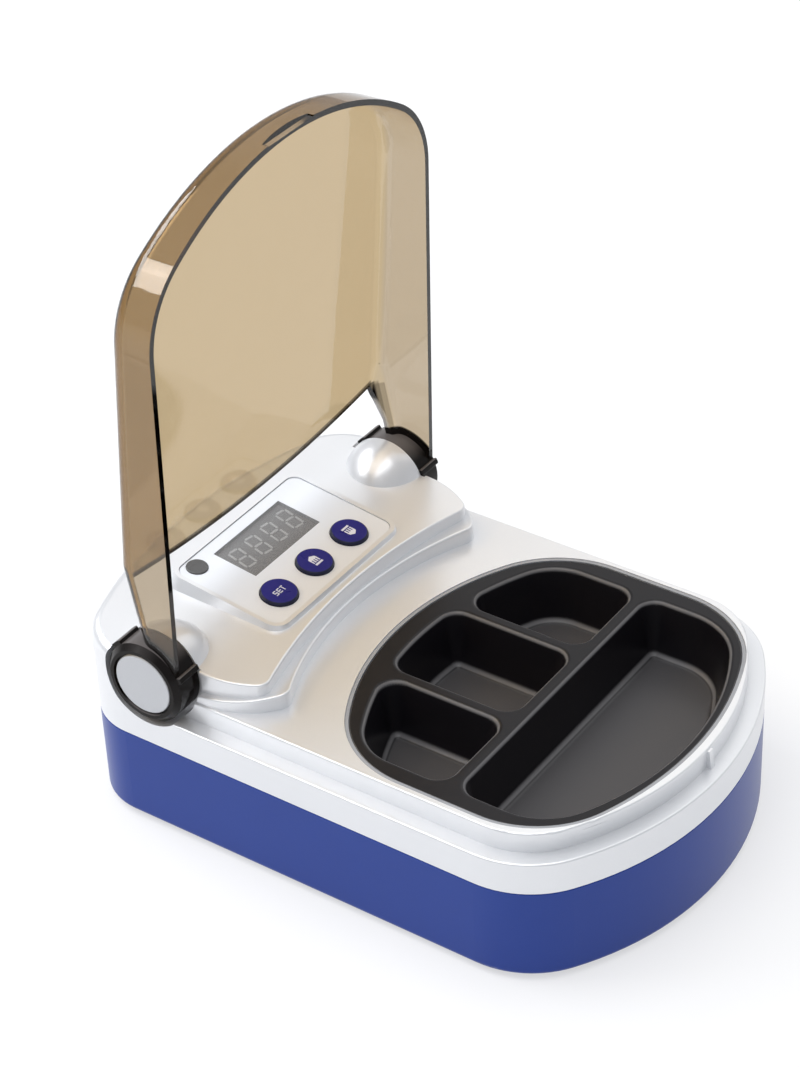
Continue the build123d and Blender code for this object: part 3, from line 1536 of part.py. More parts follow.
save(build_top_housing(), "top_housing")
save(build_base_housing(), "base_housing")
save(build_feet(), "rubber_feet")
save(build_case_screws(), "housing_screws")
save(build_seal(), "pot_seal")
save(build_wax_pot(), "wax_pot")
save(build_heater(), "foil_heater")
save(build_pad(), "insulation_pad")
save(build_shield(), "heat_shield")
save(build_shield_screws(), "shield_screws")
save(build_sensor(), "temperature_sensor")
save(build_cutout(), "thermal_cutout")
save(build_lid(), "lid")
hinge_parts()
save(build_control_panel(), "control_panel")
save(build_window(), "display_window")
save(build_display_module(), "display_module")
save(build_digits(), "display_digits")
save(build_lamp_lens(), "indicator_lens")
save(build_lamp(), "indicator_led")
keys_and_plungers()
save(build_key_switches(), "tact_switches")
save(build_control_board(), "control_board")
save(build_control_board_screws(), "control_board_screws")
save(build_power_board(), "power_board")
save(build_power_board_screws(), "power_board_screws")
save(build_transformer_core(), "transformer_core")
save(build_transformer_coil(), "transformer_coil")
save(build_heat_sink(), "triac_heat_sink")
save(build_triac(), "triac")
save(build_relay(), "relay")
save(build_capacitors(), "capacitors")
save(build_terminal_block(), "terminal_block")
save(build_inlet(), "mains_inlet")
save(build_inlet_pins(), "inlet_pins")
save(build_switch_frame(), "switch_frame")
save(build_rocker(), "power_rocker")
save(build_heater_leads(), "heater_leads")
save(build_ribbon(), "board_ribbon")
save(build_mains_leads(), "mains_leads")
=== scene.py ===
"""Dental laboratory wax heater: finishes, printed marks, lights and camera round the solids."""

import math

import bpy
from mathutils import Matrix, Vector


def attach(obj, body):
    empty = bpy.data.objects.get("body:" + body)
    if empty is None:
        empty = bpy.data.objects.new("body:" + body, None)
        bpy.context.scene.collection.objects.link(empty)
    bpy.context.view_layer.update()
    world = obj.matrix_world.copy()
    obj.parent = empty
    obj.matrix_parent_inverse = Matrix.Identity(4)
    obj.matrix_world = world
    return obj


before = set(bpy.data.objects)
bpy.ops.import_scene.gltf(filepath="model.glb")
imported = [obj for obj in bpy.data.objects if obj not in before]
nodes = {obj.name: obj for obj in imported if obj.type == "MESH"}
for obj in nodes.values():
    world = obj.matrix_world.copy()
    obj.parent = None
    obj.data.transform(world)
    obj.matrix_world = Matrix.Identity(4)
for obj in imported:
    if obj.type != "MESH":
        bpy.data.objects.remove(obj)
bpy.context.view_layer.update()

MM = 0.001

# The key panel: a point on it, its tilt and its own directions
PANEL_POINT = Vector((0.0, 67.75, 76.37)) * MM
PANEL_TILT = math.radians(7.6)
PANEL_RIGHT = Vector((1.0, 0.0, 0.0))
PANEL_UP = Vector((0.0, math.cos(PANEL_TILT), math.sin(PANEL_TILT)))
PANEL_NORMAL = Vector((0.0, -math.sin(PANEL_TILT), math.cos(PANEL_TILT)))

# The keys on it, in millimetres: their pitch, the row of their centres and the level of their faces
KEY_PITCH = 21.6
KEY_ROW = -13.5
KEY_FACE = 1.0

# The print on the keys, in millimetres: how far it stands out of a face and reaches into it
PRINT_THICK = 0.05
PRINT_ROOT = 0.01

# The arrow marks, in millimetres from the key's centre toward the tip
ARROW_HALF = 1.95
ARROW_NECK = 0.6
ARROW_SHOULDER = 1.7
ARROW_SHOULDER_SHARE = 0.9
ARROW_TIP = 2.75
ARROW_FOOT = (-2.45, -1.6)

# The upright bars between an arrow's head and its foot, in millimetres
STRIPE_COUNT = 4
STRIPE_PITCH = 1.05
STRIPE_WIDTH = 0.55
STRIPE_RUN = (-1.15, 0.62)

# The hinge line, and the lid's rings round it: their radius and how far out they start
HINGE_Y = 70.32 * MM
HINGE_Z = 66.24 * MM
RING_RADIUS = 17.8 * MM
RING_START = 68.5 * MM

# The lid's bowed rear edge: the level of its middle, its rise to its corners, and how far out they are
EDGE_MIDDLE = 98.2 * MM
EDGE_RISE = 5.55 * MM
EDGE_CORNER = 70.4 * MM

# The inner sides of the lid's arms lie nearer to its middle than this
ARM_EDGE = 75.0 * MM

# The lid's plastic: its tint, how strongly it takes up light, and its index of refraction
LID_TINT = (0.593, 0.4, 0.0)
LID_DENSITY = 455.0
LID_INDEX = 1.49

# The level of the floors of the wells
POT_FLOOR = 38.5 * MM

# The floor round the heater, in metres, and the share of plain white in what is seen of it
FLOOR_HALF = 4.0
FLOOR_GLOW = 0.6

# The pale room: the way to its brightest part, its shades (1 is that way, 0 is opposite), its strength
WINDOW_WAY = Vector((0.7, 0.0, 0.71)).normalized()
ROOM_SHADES = ((0.88, (0.4, 0.41, 0.43)), (0.965, (1.0, 1.0, 1.0)))
ROOM_STRENGTH = 1.2

# The camera: its place in metres, its turns, its focal length in pixels of a frame this high, its
# sensor's height in millimetres, and how near it sees, in metres
CAMERA_PLACE = Vector((-0.66170, -0.46585, 0.69053))
CAMERA_BEARING = math.radians(-53.96)
CAMERA_TILT = math.radians(35.72)
CAMERA_ROLL = math.radians(-2.57)
FOCAL_PIXELS = 2878.47
FRAME_PIXELS = 1067.0
SENSOR_HEIGHT = 36.0
NEAREST_SEEN = 0.01


# ---------- shader maths ----------
class Channel:
    """One number socket of a node tree. Arithmetic on it adds Math nodes."""

    def __init__(self, tree, socket):
        self.tree = tree
        self.socket = socket

    def combine(self, operation, first, second):
        maths = self.tree.nodes.new("ShaderNodeMath")
        maths.operation = operation
        for place, value in enumerate((first, second)):
            plug(self.tree, maths.inputs[place], value)
        return Channel(self.tree, maths.outputs[0])

    def __add__(self, other):
        return self.combine("ADD", self, other)

    def __radd__(self, other):
        return self.combine("ADD", other, self)

    def __sub__(self, other):
        return self.combine("SUBTRACT", self, other)

    def __rsub__(self, other):
        return self.combine("SUBTRACT", other, self)

    def __mul__(self, other):
        return self.combine("MULTIPLY", self, other)

    def __rmul__(self, other):
        return self.combine("MULTIPLY", other, self)

    def __pow__(self, other):
        return self.combine("POWER", self, other)

    def size(self):
        return self.combine("ABSOLUTE", self, 0.0)

    def capped(self):
        return self.combine("MINIMUM", self, 1.0)


def plug(tree, socket, value):
    """Links a channel or a socket into an input, or sets a plain value on it."""
    if isinstance(value, Channel):
        value = value.socket
    if isinstance(value, bpy.types.NodeSocket):
        tree.links.new(value, socket)
    elif socket.type == "RGBA":
        socket.default_value = (*value, 1.0)
    else:
        socket.default_value = value


class NodeBench:
    """An emptied node tree, and the few ways in which nodes are added to it."""

    def __init__(self, tree):
        self.tree = tree
        self.tree.nodes.clear()

    def node(self, kind, settings=None, stops=None, **sockets):
        """Adds a node: its settings and ramp stops first, then values or links by socket name."""
        made = self.tree.nodes.new(kind)
        for name, value in (settings or {}).items():
            setattr(made, name, value)
        for order, (position, colour) in enumerate(stops or ()):
            if order >= len(made.color_ramp.elements):
                made.color_ramp.elements.new(position)
            made.color_ramp.elements[order].position = position
            made.color_ramp.elements[order].color = (*colour, 1.0)
        for name, value in sockets.items():
            plug(self.tree, made.inputs[name.replace("_", " ")], value)
        return made

    def feed(self, made, *values):
        """Fills a node's inputs in their order, which tells apart those that share a name."""
        for place, value in enumerate(values):
            plug(self.tree, made.inputs[place], value)
        return made

    def channel(self, socket):
        return Channel(self.tree, socket)

    def agreement(self, first, second):
        """The dot product of two directions, from -1 to 1."""
        made = self.node("ShaderNodeVectorMath", {"operation": "DOT_PRODUCT"})
        return self.channel(self.feed(made, first, tuple(second)).outputs["Value"])

    def blend_shaders(self, share, first, second):
        return self.feed(self.node("ShaderNodeMixShader"), share, first, second).outputs[0]


class Finish(NodeBench):
    """A surface finish under construction, read in the frame's own coordinates."""

    def __init__(self, name):
        self.material = bpy.data.materials.new(name)
        self.material.use_nodes = True
        super().__init__(self.material.node_tree)
        self.place = self.node("ShaderNodeTexCoord").outputs["Object"]

    def grain(self, scale, detail=2.0, roughness=0.5, distortion=0.0):
        """Noise from 0 to 1; scale is in cells for each metre."""
        made = self.node(
            "ShaderNodeTexNoise",
            Vector=self.place,
            Scale=scale,
            Detail=detail,
            Roughness=roughness,
            Distortion=distortion,
        )
        return self.channel(made.outputs[0])

    def cells(self, scale, randomness):
        """Distance to the nearest of many scattered points."""
        made = self.node(
            "ShaderNodeTexVoronoi",
            Vector=self.place,
            Scale=scale,
            Randomness=randomness,
        )
        return self.channel(made.outputs["Distance"])

    def range(self, value, low, high):
        """A smooth step from 0 at the low value to 1 at the high one."""
        made = self.node("ShaderNodeMapRange", {"interpolation_type": "SMOOTHSTEP"})
        return self.channel(self.feed(made, value, low, high).outputs[0])

    def mix(self, share, first, second):
        """A colour between two colours, whose sockets come after those of numbers and vectors."""
        made = self.node("ShaderNodeMix", {"data_type": "RGBA"})
        plug(self.tree, made.inputs[0], share)
        plug(self.tree, made.inputs[6], first)
        plug(self.tree, made.inputs[7], second)
        return made.outputs[2]

    def bump(self, height, depth, strength, under=None):
        made = self.node("ShaderNodeBump", Height=height, Distance=depth, Strength=strength)
        if under is not None:
            plug(self.tree, made.inputs["Normal"], under)
        return made.outputs[0]

    def facing(self, direction):
        """How squarely the surface faces a fixed direction of the piece, from -1 to 1."""
        normal = self.node("ShaderNodeTexCoord").outputs["Normal"]
        return self.agreement(normal, direction)

    def coordinates(self):
        """The place along x, y and z, in metres."""
        split = self.node("ShaderNodeSeparateXYZ", Vector=self.place)
        return [self.channel(output) for output in split.outputs]

    def shader(self, **sockets):
        return self.node("ShaderNodeBsdfPrincipled", **sockets).outputs[0]

    def done(self, surface, volume=None):
        output = self.node("ShaderNodeOutputMaterial", Surface=surface)
        if volume is not None:
            plug(self.tree, output.inputs["Volume"], volume)
        return self.material


# ---------- finishes ----------
def lacquer(name, shade, light, roughness, metal, coat, gloss=0.5):
    """Sprayed satin lacquer with fine flakes, a soft orange peel and faint cloudiness."""
    made = Finish(name)
    speckle = made.grain(5200, detail=1.0)
    flakes = made.range(speckle, 0.42, 0.68)
    clouds = made.grain(22, detail=3.0)
    colour = made.mix(0.25 * flakes + 0.75 * clouds, shade, light)
    peel = made.bump(made.grain(420), depth=0.03 * MM, strength=0.35)
    skin = made.bump(speckle, depth=0.002 * MM, strength=0.3, under=peel)
    sheen = roughness + 0.06 * (clouds - 0.5) + 0.03 * flakes
    return made.done(
        made.shader(
            Base_Color=colour,
            Metallic=metal,
            Roughness=sheen,
            Specular_IOR_Level=gloss,
            Coat_Weight=coat,
            Coat_Roughness=0.12,
            Normal=skin,
        )
    )


def moulding(name, shade, light, roughness, gloss=0.5):
    """Moulded plastic: fine spark-eroded texture and slight unevenness in gloss."""
    made = Finish(name)
    clouds = made.grain(60, detail=3.0)
    fine = made.grain(1400)
    return made.done(
        made.shader(
            Base_Color=made.mix(0.6 * clouds + 0.4 * fine, shade, light),
            Roughness=roughness + 0.12 * (clouds - 0.5),
            Specular_IOR_Level=gloss,
            Normal=made.bump(fine, depth=0.02 * MM, strength=0.5),
        )
    )


def metal_finish(name, shade, light, roughness, stretch=(1.0, 1.0, 1.0)):
    """Bare metal with a fine grain, which a stretch squeezes into lines across its direction."""
    made = Finish(name)
    stretched = made.node("ShaderNodeMapping", Vector=made.place, Scale=stretch)
    lines = made.node(
        "ShaderNodeTexNoise", Vector=stretched.outputs[0], Scale=900.0, Detail=3.0
    )
    lines = made.channel(lines.outputs[0])
    clouds = made.grain(80)
    return made.done(
        made.shader(
            Base_Color=made.mix(0.6 * lines + 0.4 * clouds, shade, light),
            Metallic=1.0,
            Roughness=roughness + 0.16 * (lines - 0.5),
            Normal=made.bump(lines, depth=0.012 * MM, strength=0.5),
        )
    )


def non_stick():
    """Black baked coating: pebbled satin skin, painted greyer on its roundings as a highlight and on
    its floors as light.
    """
    made = Finish("non_stick_black")
    pebble = made.grain(1500, detail=3.0, roughness=0.6)
    clouds = made.grain(30, detail=3.0)
    rise = made.facing((0.0, 0.0, 1.0))
    level = made.range(rise, 0.9, 0.99)
    painted_rounding_highlight = made.range(rise, 0.3, 0.7) * made.range(rise, 0.95, 0.82)
    height = made.coordinates()[2]
    floor = level * made.range(height, POT_FLOOR + 4 * MM, POT_FLOOR + MM)
    colour = made.mix(clouds, (0.004, 0.0035, 0.005), (0.008, 0.007, 0.009))
    # Painted light: the level floors of the wells are painted a lighter grey
    colour = made.mix(floor, colour, (0.06, 0.058, 0.061))
    # Painted highlight: the roundings are painted a lighter grey
    colour = made.mix(0.8 * painted_rounding_highlight, colour, (0.15, 0.147, 0.152))
    return made.done(
        made.shader(
            Base_Color=colour,
            Roughness=0.3 + 0.08 * clouds,
            Specular_IOR_Level=0.28,
            Normal=made.bump(pebble, depth=0.03 * MM, strength=0.25),
        )
    )


def lid_edges(made):
    """How dark the lid is, from 0 to 1: its hinge rings, and painted shade along its rear edge and its
    arms' inner sides.
    """
    x, y, z = made.coordinates()
    side = x.size()
    radius = ((y - HINGE_Y) ** 2.0 + (z - HINGE_Z) ** 2.0) ** 0.5
    ring = made.range(radius, RING_RADIUS + MM, RING_RADIUS)
    ring = ring * made.range(side, RING_START - MM, RING_START)
    # Painted shade: a dark band along the rear edge and on the arms' inner sides
    above_edge = z - EDGE_MIDDLE - EDGE_RISE * (side * (1.0 / EDGE_CORNER)) ** 2.0
    painted_rear_edge_shade = made.range(above_edge, 1.9 * MM, 1.1 * MM)
    painted_rear_edge_shade = painted_rear_edge_shade * made.range(side, EDGE_CORNER + 2 * MM, EDGE_CORNER + MM)
    painted_arm_side_shade = made.range(z, EDGE_MIDDLE + EDGE_RISE + MM, EDGE_MIDDLE + EDGE_RISE)
    painted_arm_side_shade = painted_arm_side_shade * made.range(side, ARM_EDGE, ARM_EDGE - 0.4 * MM)
    painted_arm_side_shade = painted_arm_side_shade * made.range(made.facing((1.0, 0.0, 0.0)).size(), 0.4, 0.7)
    return (ring + 0.72 * painted_rear_edge_shade + 0.4 * painted_arm_side_shade).capped()


def smoked_clear():
    """Clear brown plastic, tinted by its thickness, with painted shade at its edges, and nearly black
    rings whose upward faces carry a painted highlight.
    """
    made = Finish("smoked_clear")
    waves = made.grain(24)
    haze = made.grain(110, detail=4.0, roughness=0.6)
    skirt = made.range(made.facing((0.0, 1.0, 0.0)).size(), 0.9, 0.5)
    clear = made.mix(haze, (0.975, 0.955, 0.935), (1.0, 0.985, 0.97))
    glass = made.shader(
        Base_Color=made.mix(skirt, clear, (0.87, 0.885, 1.0)),
        Roughness=0.045 + 0.05 * made.range(haze, 0.5, 0.75),
        IOR=LID_INDEX,
        Specular_IOR_Level=0.25,
        Transmission_Weight=1.0,
        Normal=made.bump(waves, depth=0.6 * MM, strength=0.35),
    )
    # Painted highlight: the upward faces of the dark parts are painted lighter
    top = made.range(made.facing((0.0, 0.0, 1.0)).size(), 0.6, 0.97)
    black = made.mix(haze, (0.004, 0.003, 0.003), (0.009, 0.007, 0.006))
    dark = made.shader(
        Base_Color=made.mix(top, black, (0.12, 0.11, 0.108)),
        Roughness=0.16 + 0.08 * haze,
        Specular_IOR_Level=0.14,
    )
    body = made.blend_shaders(lid_edges(made), glass, dark)
    lamp_ray = made.node("ShaderNodeLightPath").outputs["Is Shadow Ray"]
    let_through = made.node("ShaderNodeBsdfTransparent", Color=(0.88, 0.85, 0.8))
    surface = made.blend_shaders(lamp_ray, body, let_through.outputs[0])
    tint = made.node("ShaderNodeVolumeAbsorption", Color=LID_TINT, Density=LID_DENSITY)
    return made.done(surface, tint.outputs[0])


def key_cap():
    """Glossy navy cap whose rounded rim carries painted shade, nearly black."""
    made = Finish("key_navy")
    clouds = made.grain(140)
    # Painted shade: faces turned away from the panel's normal, the rounded rim, go toward blue-black
    top = made.range(made.facing(PANEL_NORMAL), 0.9, 0.995)
    blue = made.mix(clouds, (0.012, 0.012, 0.15), (0.02, 0.02, 0.19))
    return made.done(
        made.shader(
            Base_Color=made.mix(top, (0.012, 0.014, 0.04), blue),
            Roughness=0.24 + 0.1 * clouds,
            Specular_IOR_Level=0.22,
            Normal=made.bump(made.grain(500), depth=0.01 * MM, strength=0.3),
        )
    )


def tinted_pane(name, colour, cover, roughness):
    """A dark pane that lets part of what is under it show."""
    made = Finish(name)
    haze = made.grain(220, detail=3.0)
    paler = tuple(1.15 * part for part in colour)
    pane = made.shader(
        Base_Color=made.mix(haze, colour, paler),
        Roughness=roughness + 0.08 * haze,
    )
    clear = made.node("ShaderNodeBsdfTransparent").outputs[0]
    return made.done(made.blend_shaders(cover, clear, pane))


def soft_rubber(name, shade, light, roughness=0.6):
    """Matt rubber or wire cover with a fine dry texture."""
    made = Finish(name)
    clouds = made.grain(90, detail=3.0)
    fine = made.grain(2400)
    return made.done(
        made.shader(
            Base_Color=made.mix(clouds, shade, light),
            Roughness=roughness + 0.15 * (clouds - 0.5),
            Normal=made.bump(fine, depth=0.02 * MM, strength=0.4),
        )
    )


def felt():
    """Pale glass-fibre felt, with a tangle of fibres."""
    made = Finish("glass_fibre_felt")
    fibres = made.grain(1800, detail=5.0, roughness=0.7, distortion=1.5)
    return made.done(
        made.shader(
            Base_Color=made.mix(fibres, (0.62, 0.58, 0.48), (0.88, 0.86, 0.8)),
            Roughness=0.95,
            Normal=made.bump(fibres, depth=0.2 * MM, strength=0.8),
        )
    )


def winding():
    """Enamelled wire in level turns round an upright bobbin."""
    made = Finish("copper_winding")
    turns = made.node(
        "ShaderNodeTexWave",
        {"bands_direction": "Z"},
        Vector=made.place,
        Scale=420.0,
        Distortion=0.3,
    )
    turns = made.channel(turns.outputs[1])
    return made.done(
        made.shader(
            Base_Color=made.mix(turns, (0.2, 0.06, 0.02), (0.62, 0.27, 0.12)),
            Metallic=0.8,
            Roughness=0.35,
            Normal=made.bump(turns, depth=0.2 * MM, strength=0.6),
        )
    )


def board_green():
    """Green solder mask with copper tracks just showing."""
    made = Finish("board_green")
    tracks = made.range(made.cells(260, randomness=0.6), 0.12, 0.16)
    return made.done(
        made.shader(
            Base_Color=made.mix(tracks, (0.05, 0.26, 0.1), (0.012, 0.1, 0.04)),
            Roughness=0.35 + 0.15 * tracks,
            Normal=made.bump(tracks, depth=0.03 * MM, strength=0.4),
        )
    )


def white_print():
    """Slightly uneven white ink."""
    made = Finish("white_print")
    clouds = made.grain(700, detail=3.0)
    return made.done(
        made.shader(
            Base_Color=made.mix(clouds, (0.62, 0.63, 0.7), (0.78, 0.79, 0.84)),
            Roughness=0.4 + 0.1 * clouds,
            Normal=made.bump(clouds, depth=0.005 * MM, strength=0.4),
        )
    )


# Each finish with the nodes that wear it; a pair of colours is its darker and its lighter shade
FINISHES = {
    lacquer(
        "silver_lacquer",
        (0.735, 0.745, 0.765),
        (0.80, 0.812, 0.832),
        roughness=0.3,
        metal=0.55,
        coat=0.08,
    ): ("top_housing",),
    lacquer(
        "panel_lacquer",
        (0.76, 0.785, 0.83),
        (0.82, 0.845, 0.885),
        roughness=0.36,
        metal=0.3,
        coat=0.08,
    ): ("control_panel",),
    lacquer(
        "blue_lacquer",
        (0.007, 0.034, 0.235),
        (0.012, 0.048, 0.28),
        roughness=0.3,
        metal=0.0,
        coat=0.0,
        gloss=0.3,
    ): ("base_housing",),
    smoked_clear(): ("lid",),
    moulding(
        "hinge_black",
        (0.004, 0.0035, 0.0035),
        (0.009, 0.008, 0.008),
        roughness=0.24,
        gloss=0.15,
    ): ("right_hinge_hub", "left_hinge_hub"),
    lacquer(
        "cap_silver",
        (0.46, 0.47, 0.49),
        (0.55, 0.56, 0.58),
        roughness=0.45,
        metal=0.3,
        coat=0.05,
    ): ("right_hinge_cap", "left_hinge_cap"),
    non_stick(): ("wax_pot",),
    soft_rubber(
        "seal_grey", (0.24, 0.25, 0.275), (0.34, 0.355, 0.38), roughness=0.4
    ): ("pot_seal",),
    soft_rubber(
        "foot_black", (0.02, 0.02, 0.02), (0.045, 0.044, 0.043), roughness=0.7
    ): ("rubber_feet",),
    metal_finish(
        "steel_turned", (0.42, 0.42, 0.43), (0.68, 0.68, 0.69), roughness=0.3
    ): (
        "housing_screws",
        "shield_screws",
        "control_board_screws",
        "power_board_screws",
        "right_hinge_pin",
        "left_hinge_pin",
        "inlet_pins",
        "temperature_sensor",
        "thermal_cutout",
    ),
    metal_finish(
        "core_laminations",
        (0.07, 0.07, 0.08),
        (0.22, 0.22, 0.24),
        roughness=0.45,
        stretch=(1, 12, 1),
    ): ("transformer_core",),
    winding(): ("transformer_coil",),
    moulding("washer_nylon", (0.55, 0.54, 0.5), (0.72, 0.71, 0.67), roughness=0.45): (
        "right_friction_washer",
        "left_friction_washer",
    ),
    key_cap(): ("button_set", "button_up", "button_down"),
    tinted_pane("display_pane", (0.26, 0.26, 0.262), cover=0.32, roughness=0.12): (
        "display_window",
    ),
    moulding("display_face", (0.19, 0.188, 0.19), (0.24, 0.238, 0.24), roughness=0.5): (
        "display_module",
    ),
    moulding("display_bars", (0.72, 0.72, 0.71), (0.84, 0.84, 0.83), roughness=0.5): (
        "display_digits",
    ),
    tinted_pane("lamp_lens", (0.09, 0.09, 0.09), cover=0.82, roughness=0.15): (
        "indicator_lens",
    ),
    moulding("lamp_resin", (0.35, 0.33, 0.3), (0.5, 0.48, 0.45), roughness=0.3): (
        "indicator_led",
    ),
    board_green(): ("control_board", "power_board"),
    moulding(
        "moulded_black", (0.012, 0.012, 0.013), (0.03, 0.03, 0.032), roughness=0.42
    ): (
        "set_plunger",
        "up_plunger",
        "down_plunger",
        "tact_switches",
        "relay",
        "triac",
        "capacitors",
        "mains_inlet",
        "switch_frame",
        "power_rocker",
    ),
    moulding("terminal_green", (0.02, 0.2, 0.07), (0.05, 0.34, 0.13), roughness=0.45): (
        "terminal_block",
    ),
    metal_finish(
        "bare_aluminium", (0.55, 0.55, 0.56), (0.8, 0.8, 0.81), roughness=0.35
    ): ("triac_heat_sink", "heat_shield"),
    felt(): ("insulation_pad",),
    soft_rubber("heater_mat", (0.32, 0.07, 0.02), (0.5, 0.14, 0.05)): ("foil_heater",),
    soft_rubber("wire_cover", (0.4, 0.03, 0.02), (0.55, 0.06, 0.05), roughness=0.45): (
        "heater_leads",
        "mains_leads",
    ),
    soft_rubber("ribbon_grey", (0.3, 0.3, 0.32), (0.45, 0.45, 0.47), roughness=0.5): (
        "board_ribbon",
    ),
}
for material, names in FINISHES.items():
    for name in names:
        for place in nodes[name].material_slots:
            place.material = material


# ---------- printed marks ----------
WHITE_PRINT = white_print()


def on_panel(across, up, proud):
    """A point on the key panel, in millimetres from its middle and above its plane."""
    flat = PANEL_RIGHT * across + PANEL_UP * up + PANEL_NORMAL * proud
    return PANEL_POINT + flat * MM


def key_centre(place):
    """The centre of a key, counted from the middle one."""
    return place * KEY_PITCH, KEY_ROW


def printed(name, outlines, centre, body):
    """Thin raised print on a key: each outline is a polygon in millimetres round its centre."""
    vertices = []
    faces = []
    for outline in outlines:
        first = len(vertices)
        count = len(outline)
        for proud in (KEY_FACE - PRINT_ROOT, KEY_FACE + PRINT_THICK):
            for x, y in outline:
                vertices.append(on_panel(centre[0] + x, centre[1] + y, proud))
        faces.append([first + place for place in reversed(range(count))])
        faces.append([first + count + place for place in range(count)])
        for place in range(count):
            ahead = (place + 1) % count
            faces.append(
                [first + place, first + ahead, first + count + ahead, first + count + place]
            )
    mesh = bpy.data.meshes.new(name)
    mesh.from_pydata(vertices, [], faces)
    mesh.materials.append(WHITE_PRINT)
    piece = bpy.data.objects.new(name, mesh)
    bpy.context.scene.collection.objects.link(piece)
    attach(piece, body)


def bar(x_low, x_high, y_low, y_high):
    return [(x_low, y_low), (x_high, y_low), (x_high, y_high), (x_low, y_high)]


def stripe_group():
    """Bars side by side: a line of points, a bar on each, then one mesh."""
    group = bpy.data.node_groups.new("stripes", "GeometryNodeTree")
    sockets = group.interface
    for name, kind in (
        ("Count", "NodeSocketInt"),
        ("Pitch", "NodeSocketVector"),
        ("Start", "NodeSocketVector"),
        ("Bar", "NodeSocketVector"),
        ("Material", "NodeSocketMaterial"),
    ):
        sockets.new_socket(name, in_out="INPUT", socket_type=kind)
    sockets.new_socket("Geometry", in_out="OUTPUT", socket_type="NodeSocketGeometry")
    given = group.nodes.new("NodeGroupInput").outputs
    line = group.nodes.new("GeometryNodeMeshLine")
    block = group.nodes.new("GeometryNodeMeshCube")
    copies = group.nodes.new("GeometryNodeInstanceOnPoints")
    whole = group.nodes.new("GeometryNodeRealizeInstances")
    coloured = group.nodes.new("GeometryNodeSetMaterial")
    result = group.nodes.new("NodeGroupOutput")
    join = group.links.new
    join(given["Count"], line.inputs["Count"])
    join(given["Pitch"], line.inputs["Offset"])
    join(given["Start"], line.inputs["Start Location"])
    join(given["Bar"], block.inputs["Size"])
    join(line.outputs[0], copies.inputs["Points"])
    join(block.outputs[0], copies.inputs["Instance"])
    join(copies.outputs[0], whole.inputs[0])
    join(whole.outputs[0], coloured.inputs["Geometry"])
    join(given["Material"], coloured.inputs["Material"])
    join(coloured.outputs[0], result.inputs[0])
    return group


STRIPES = stripe_group()


def stripes(name, way, centre, body):
    """The upright bars in the body of an arrow mark."""
    carrier = bpy.data.objects.new(name, bpy.data.meshes.new(name))
    bpy.context.scene.collection.objects.link(carrier)
    modifier = carrier.modifiers.new("stripes", "NODES")
    modifier.node_group = STRIPES
    low, high = STRIPE_RUN
    thick = PRINT_THICK + PRINT_ROOT
    values = {
        "Count": STRIPE_COUNT,
        "Pitch": (STRIPE_PITCH, 0.0, 0.0),
        "Start": (
            -STRIPE_PITCH * (STRIPE_COUNT - 1) / 2,
            way * (low + high) / 2,
            KEY_FACE - PRINT_ROOT + thick / 2,
        ),
        "Bar": (STRIPE_WIDTH, high - low, thick),
        "Material": WHITE_PRINT,
    }
    for item in STRIPES.interface.items_tree:
        if item.name in values:
            modifier[item.identifier] = values[item.name]
    bpy.context.view_layer.update()
    graph = bpy.context.evaluated_depsgraph_get()
    mesh = bpy.data.meshes.new_from_object(carrier.evaluated_get(graph))
    carrier.modifiers.clear()
    carrier.data = mesh
    for vertex in mesh.vertices:
        across, up, proud = vertex.co
        vertex.co = on_panel(centre[0] + across, centre[1] + up, proud)
    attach(carrier, body)


def arrow(way):
    """A pointed head and a foot bar, pointing up or down the panel."""
    shoulder = ARROW_SHOULDER_SHARE * ARROW_HALF
    head = [
        (-ARROW_HALF, ARROW_NECK),
        (ARROW_HALF, ARROW_NECK),
        (shoulder, ARROW_SHOULDER),
        (0.0, ARROW_TIP),
        (-shoulder, ARROW_SHOULDER),
    ]
    shapes = [head, bar(-ARROW_HALF, ARROW_HALF, *ARROW_FOOT)]
    if way > 0:
        return shapes
    return [[(x, -y) for x, y in reversed(shape)] for shape in shapes]


def lettered(word, height, width, gap, stroke):
    """Block letters made of straight strokes, the word centred on its key."""
    half = height / 2
    rows = {"top": half - stroke, "middle": -stroke / 2, "foot": -half}
    strokes = {
        "S": ("top", "middle", "foot", "upper left", "lower right"),
        "E": ("top", "middle", "foot", "upper left", "lower left"),
        "T": ("top", "stem"),
    }
    shapes = []
    start = -(len(word) * width + (len(word) - 1) * gap) / 2
    for order, letter in enumerate(word):
        left = start + order * (width + gap)
        right = left + width
        middle = (left + right - stroke) / 2
        columns = {
            "upper left": (left, 0.0, half),
            "lower left": (left, -half, 0.0),
            "lower right": (right - stroke, -half, 0.0),
            "stem": (middle, -half, half),
        }
        for part in strokes[letter]:
            if part in rows:
                shapes.append(bar(left, right, rows[part], rows[part] + stroke))
            else:
                x, low, high = columns[part]
                shapes.append(bar(x, x + stroke, low, high))
    return shapes


SET_WORD = lettered("SET", height=2.5, width=1.5, gap=0.5, stroke=0.42)
printed("set_mark", SET_WORD, key_centre(-1), "set_button")
for name, place, way in (("up", 0, 1), ("down", 1, -1)):
    body = name + "_button"
    printed(name + "_mark", arrow(way), key_centre(place), body)
    stripes(name + "_stripes", way, key_centre(place), body)


# ---------- floor, lights and camera ----------
def pale_floor():
    """Pale matt paper, with plain white mixed into what is seen of it."""
    made = Finish("pale_floor")
    paper = made.grain(40, detail=3.0)
    matt = made.node(
        "ShaderNodeBsdfDiffuse",
        Color=made.mix(paper, (0.86, 0.865, 0.88), (0.88, 0.885, 0.9)),
    )
    glow = made.node("ShaderNodeEmission", Color=(1.0, 1.0, 1.0), Strength=1.0)
    path = made.node("ShaderNodeLightPath")
    seen = made.channel(path.outputs["Is Camera Ray"])
    seen = seen + made.channel(path.outputs["Is Glossy Ray"])
    seen = seen + made.channel(path.outputs["Is Transmission Ray"])
    return made.done(
        made.blend_shaders(FLOOR_GLOW * seen, matt.outputs[0], glow.outputs[0])
    )


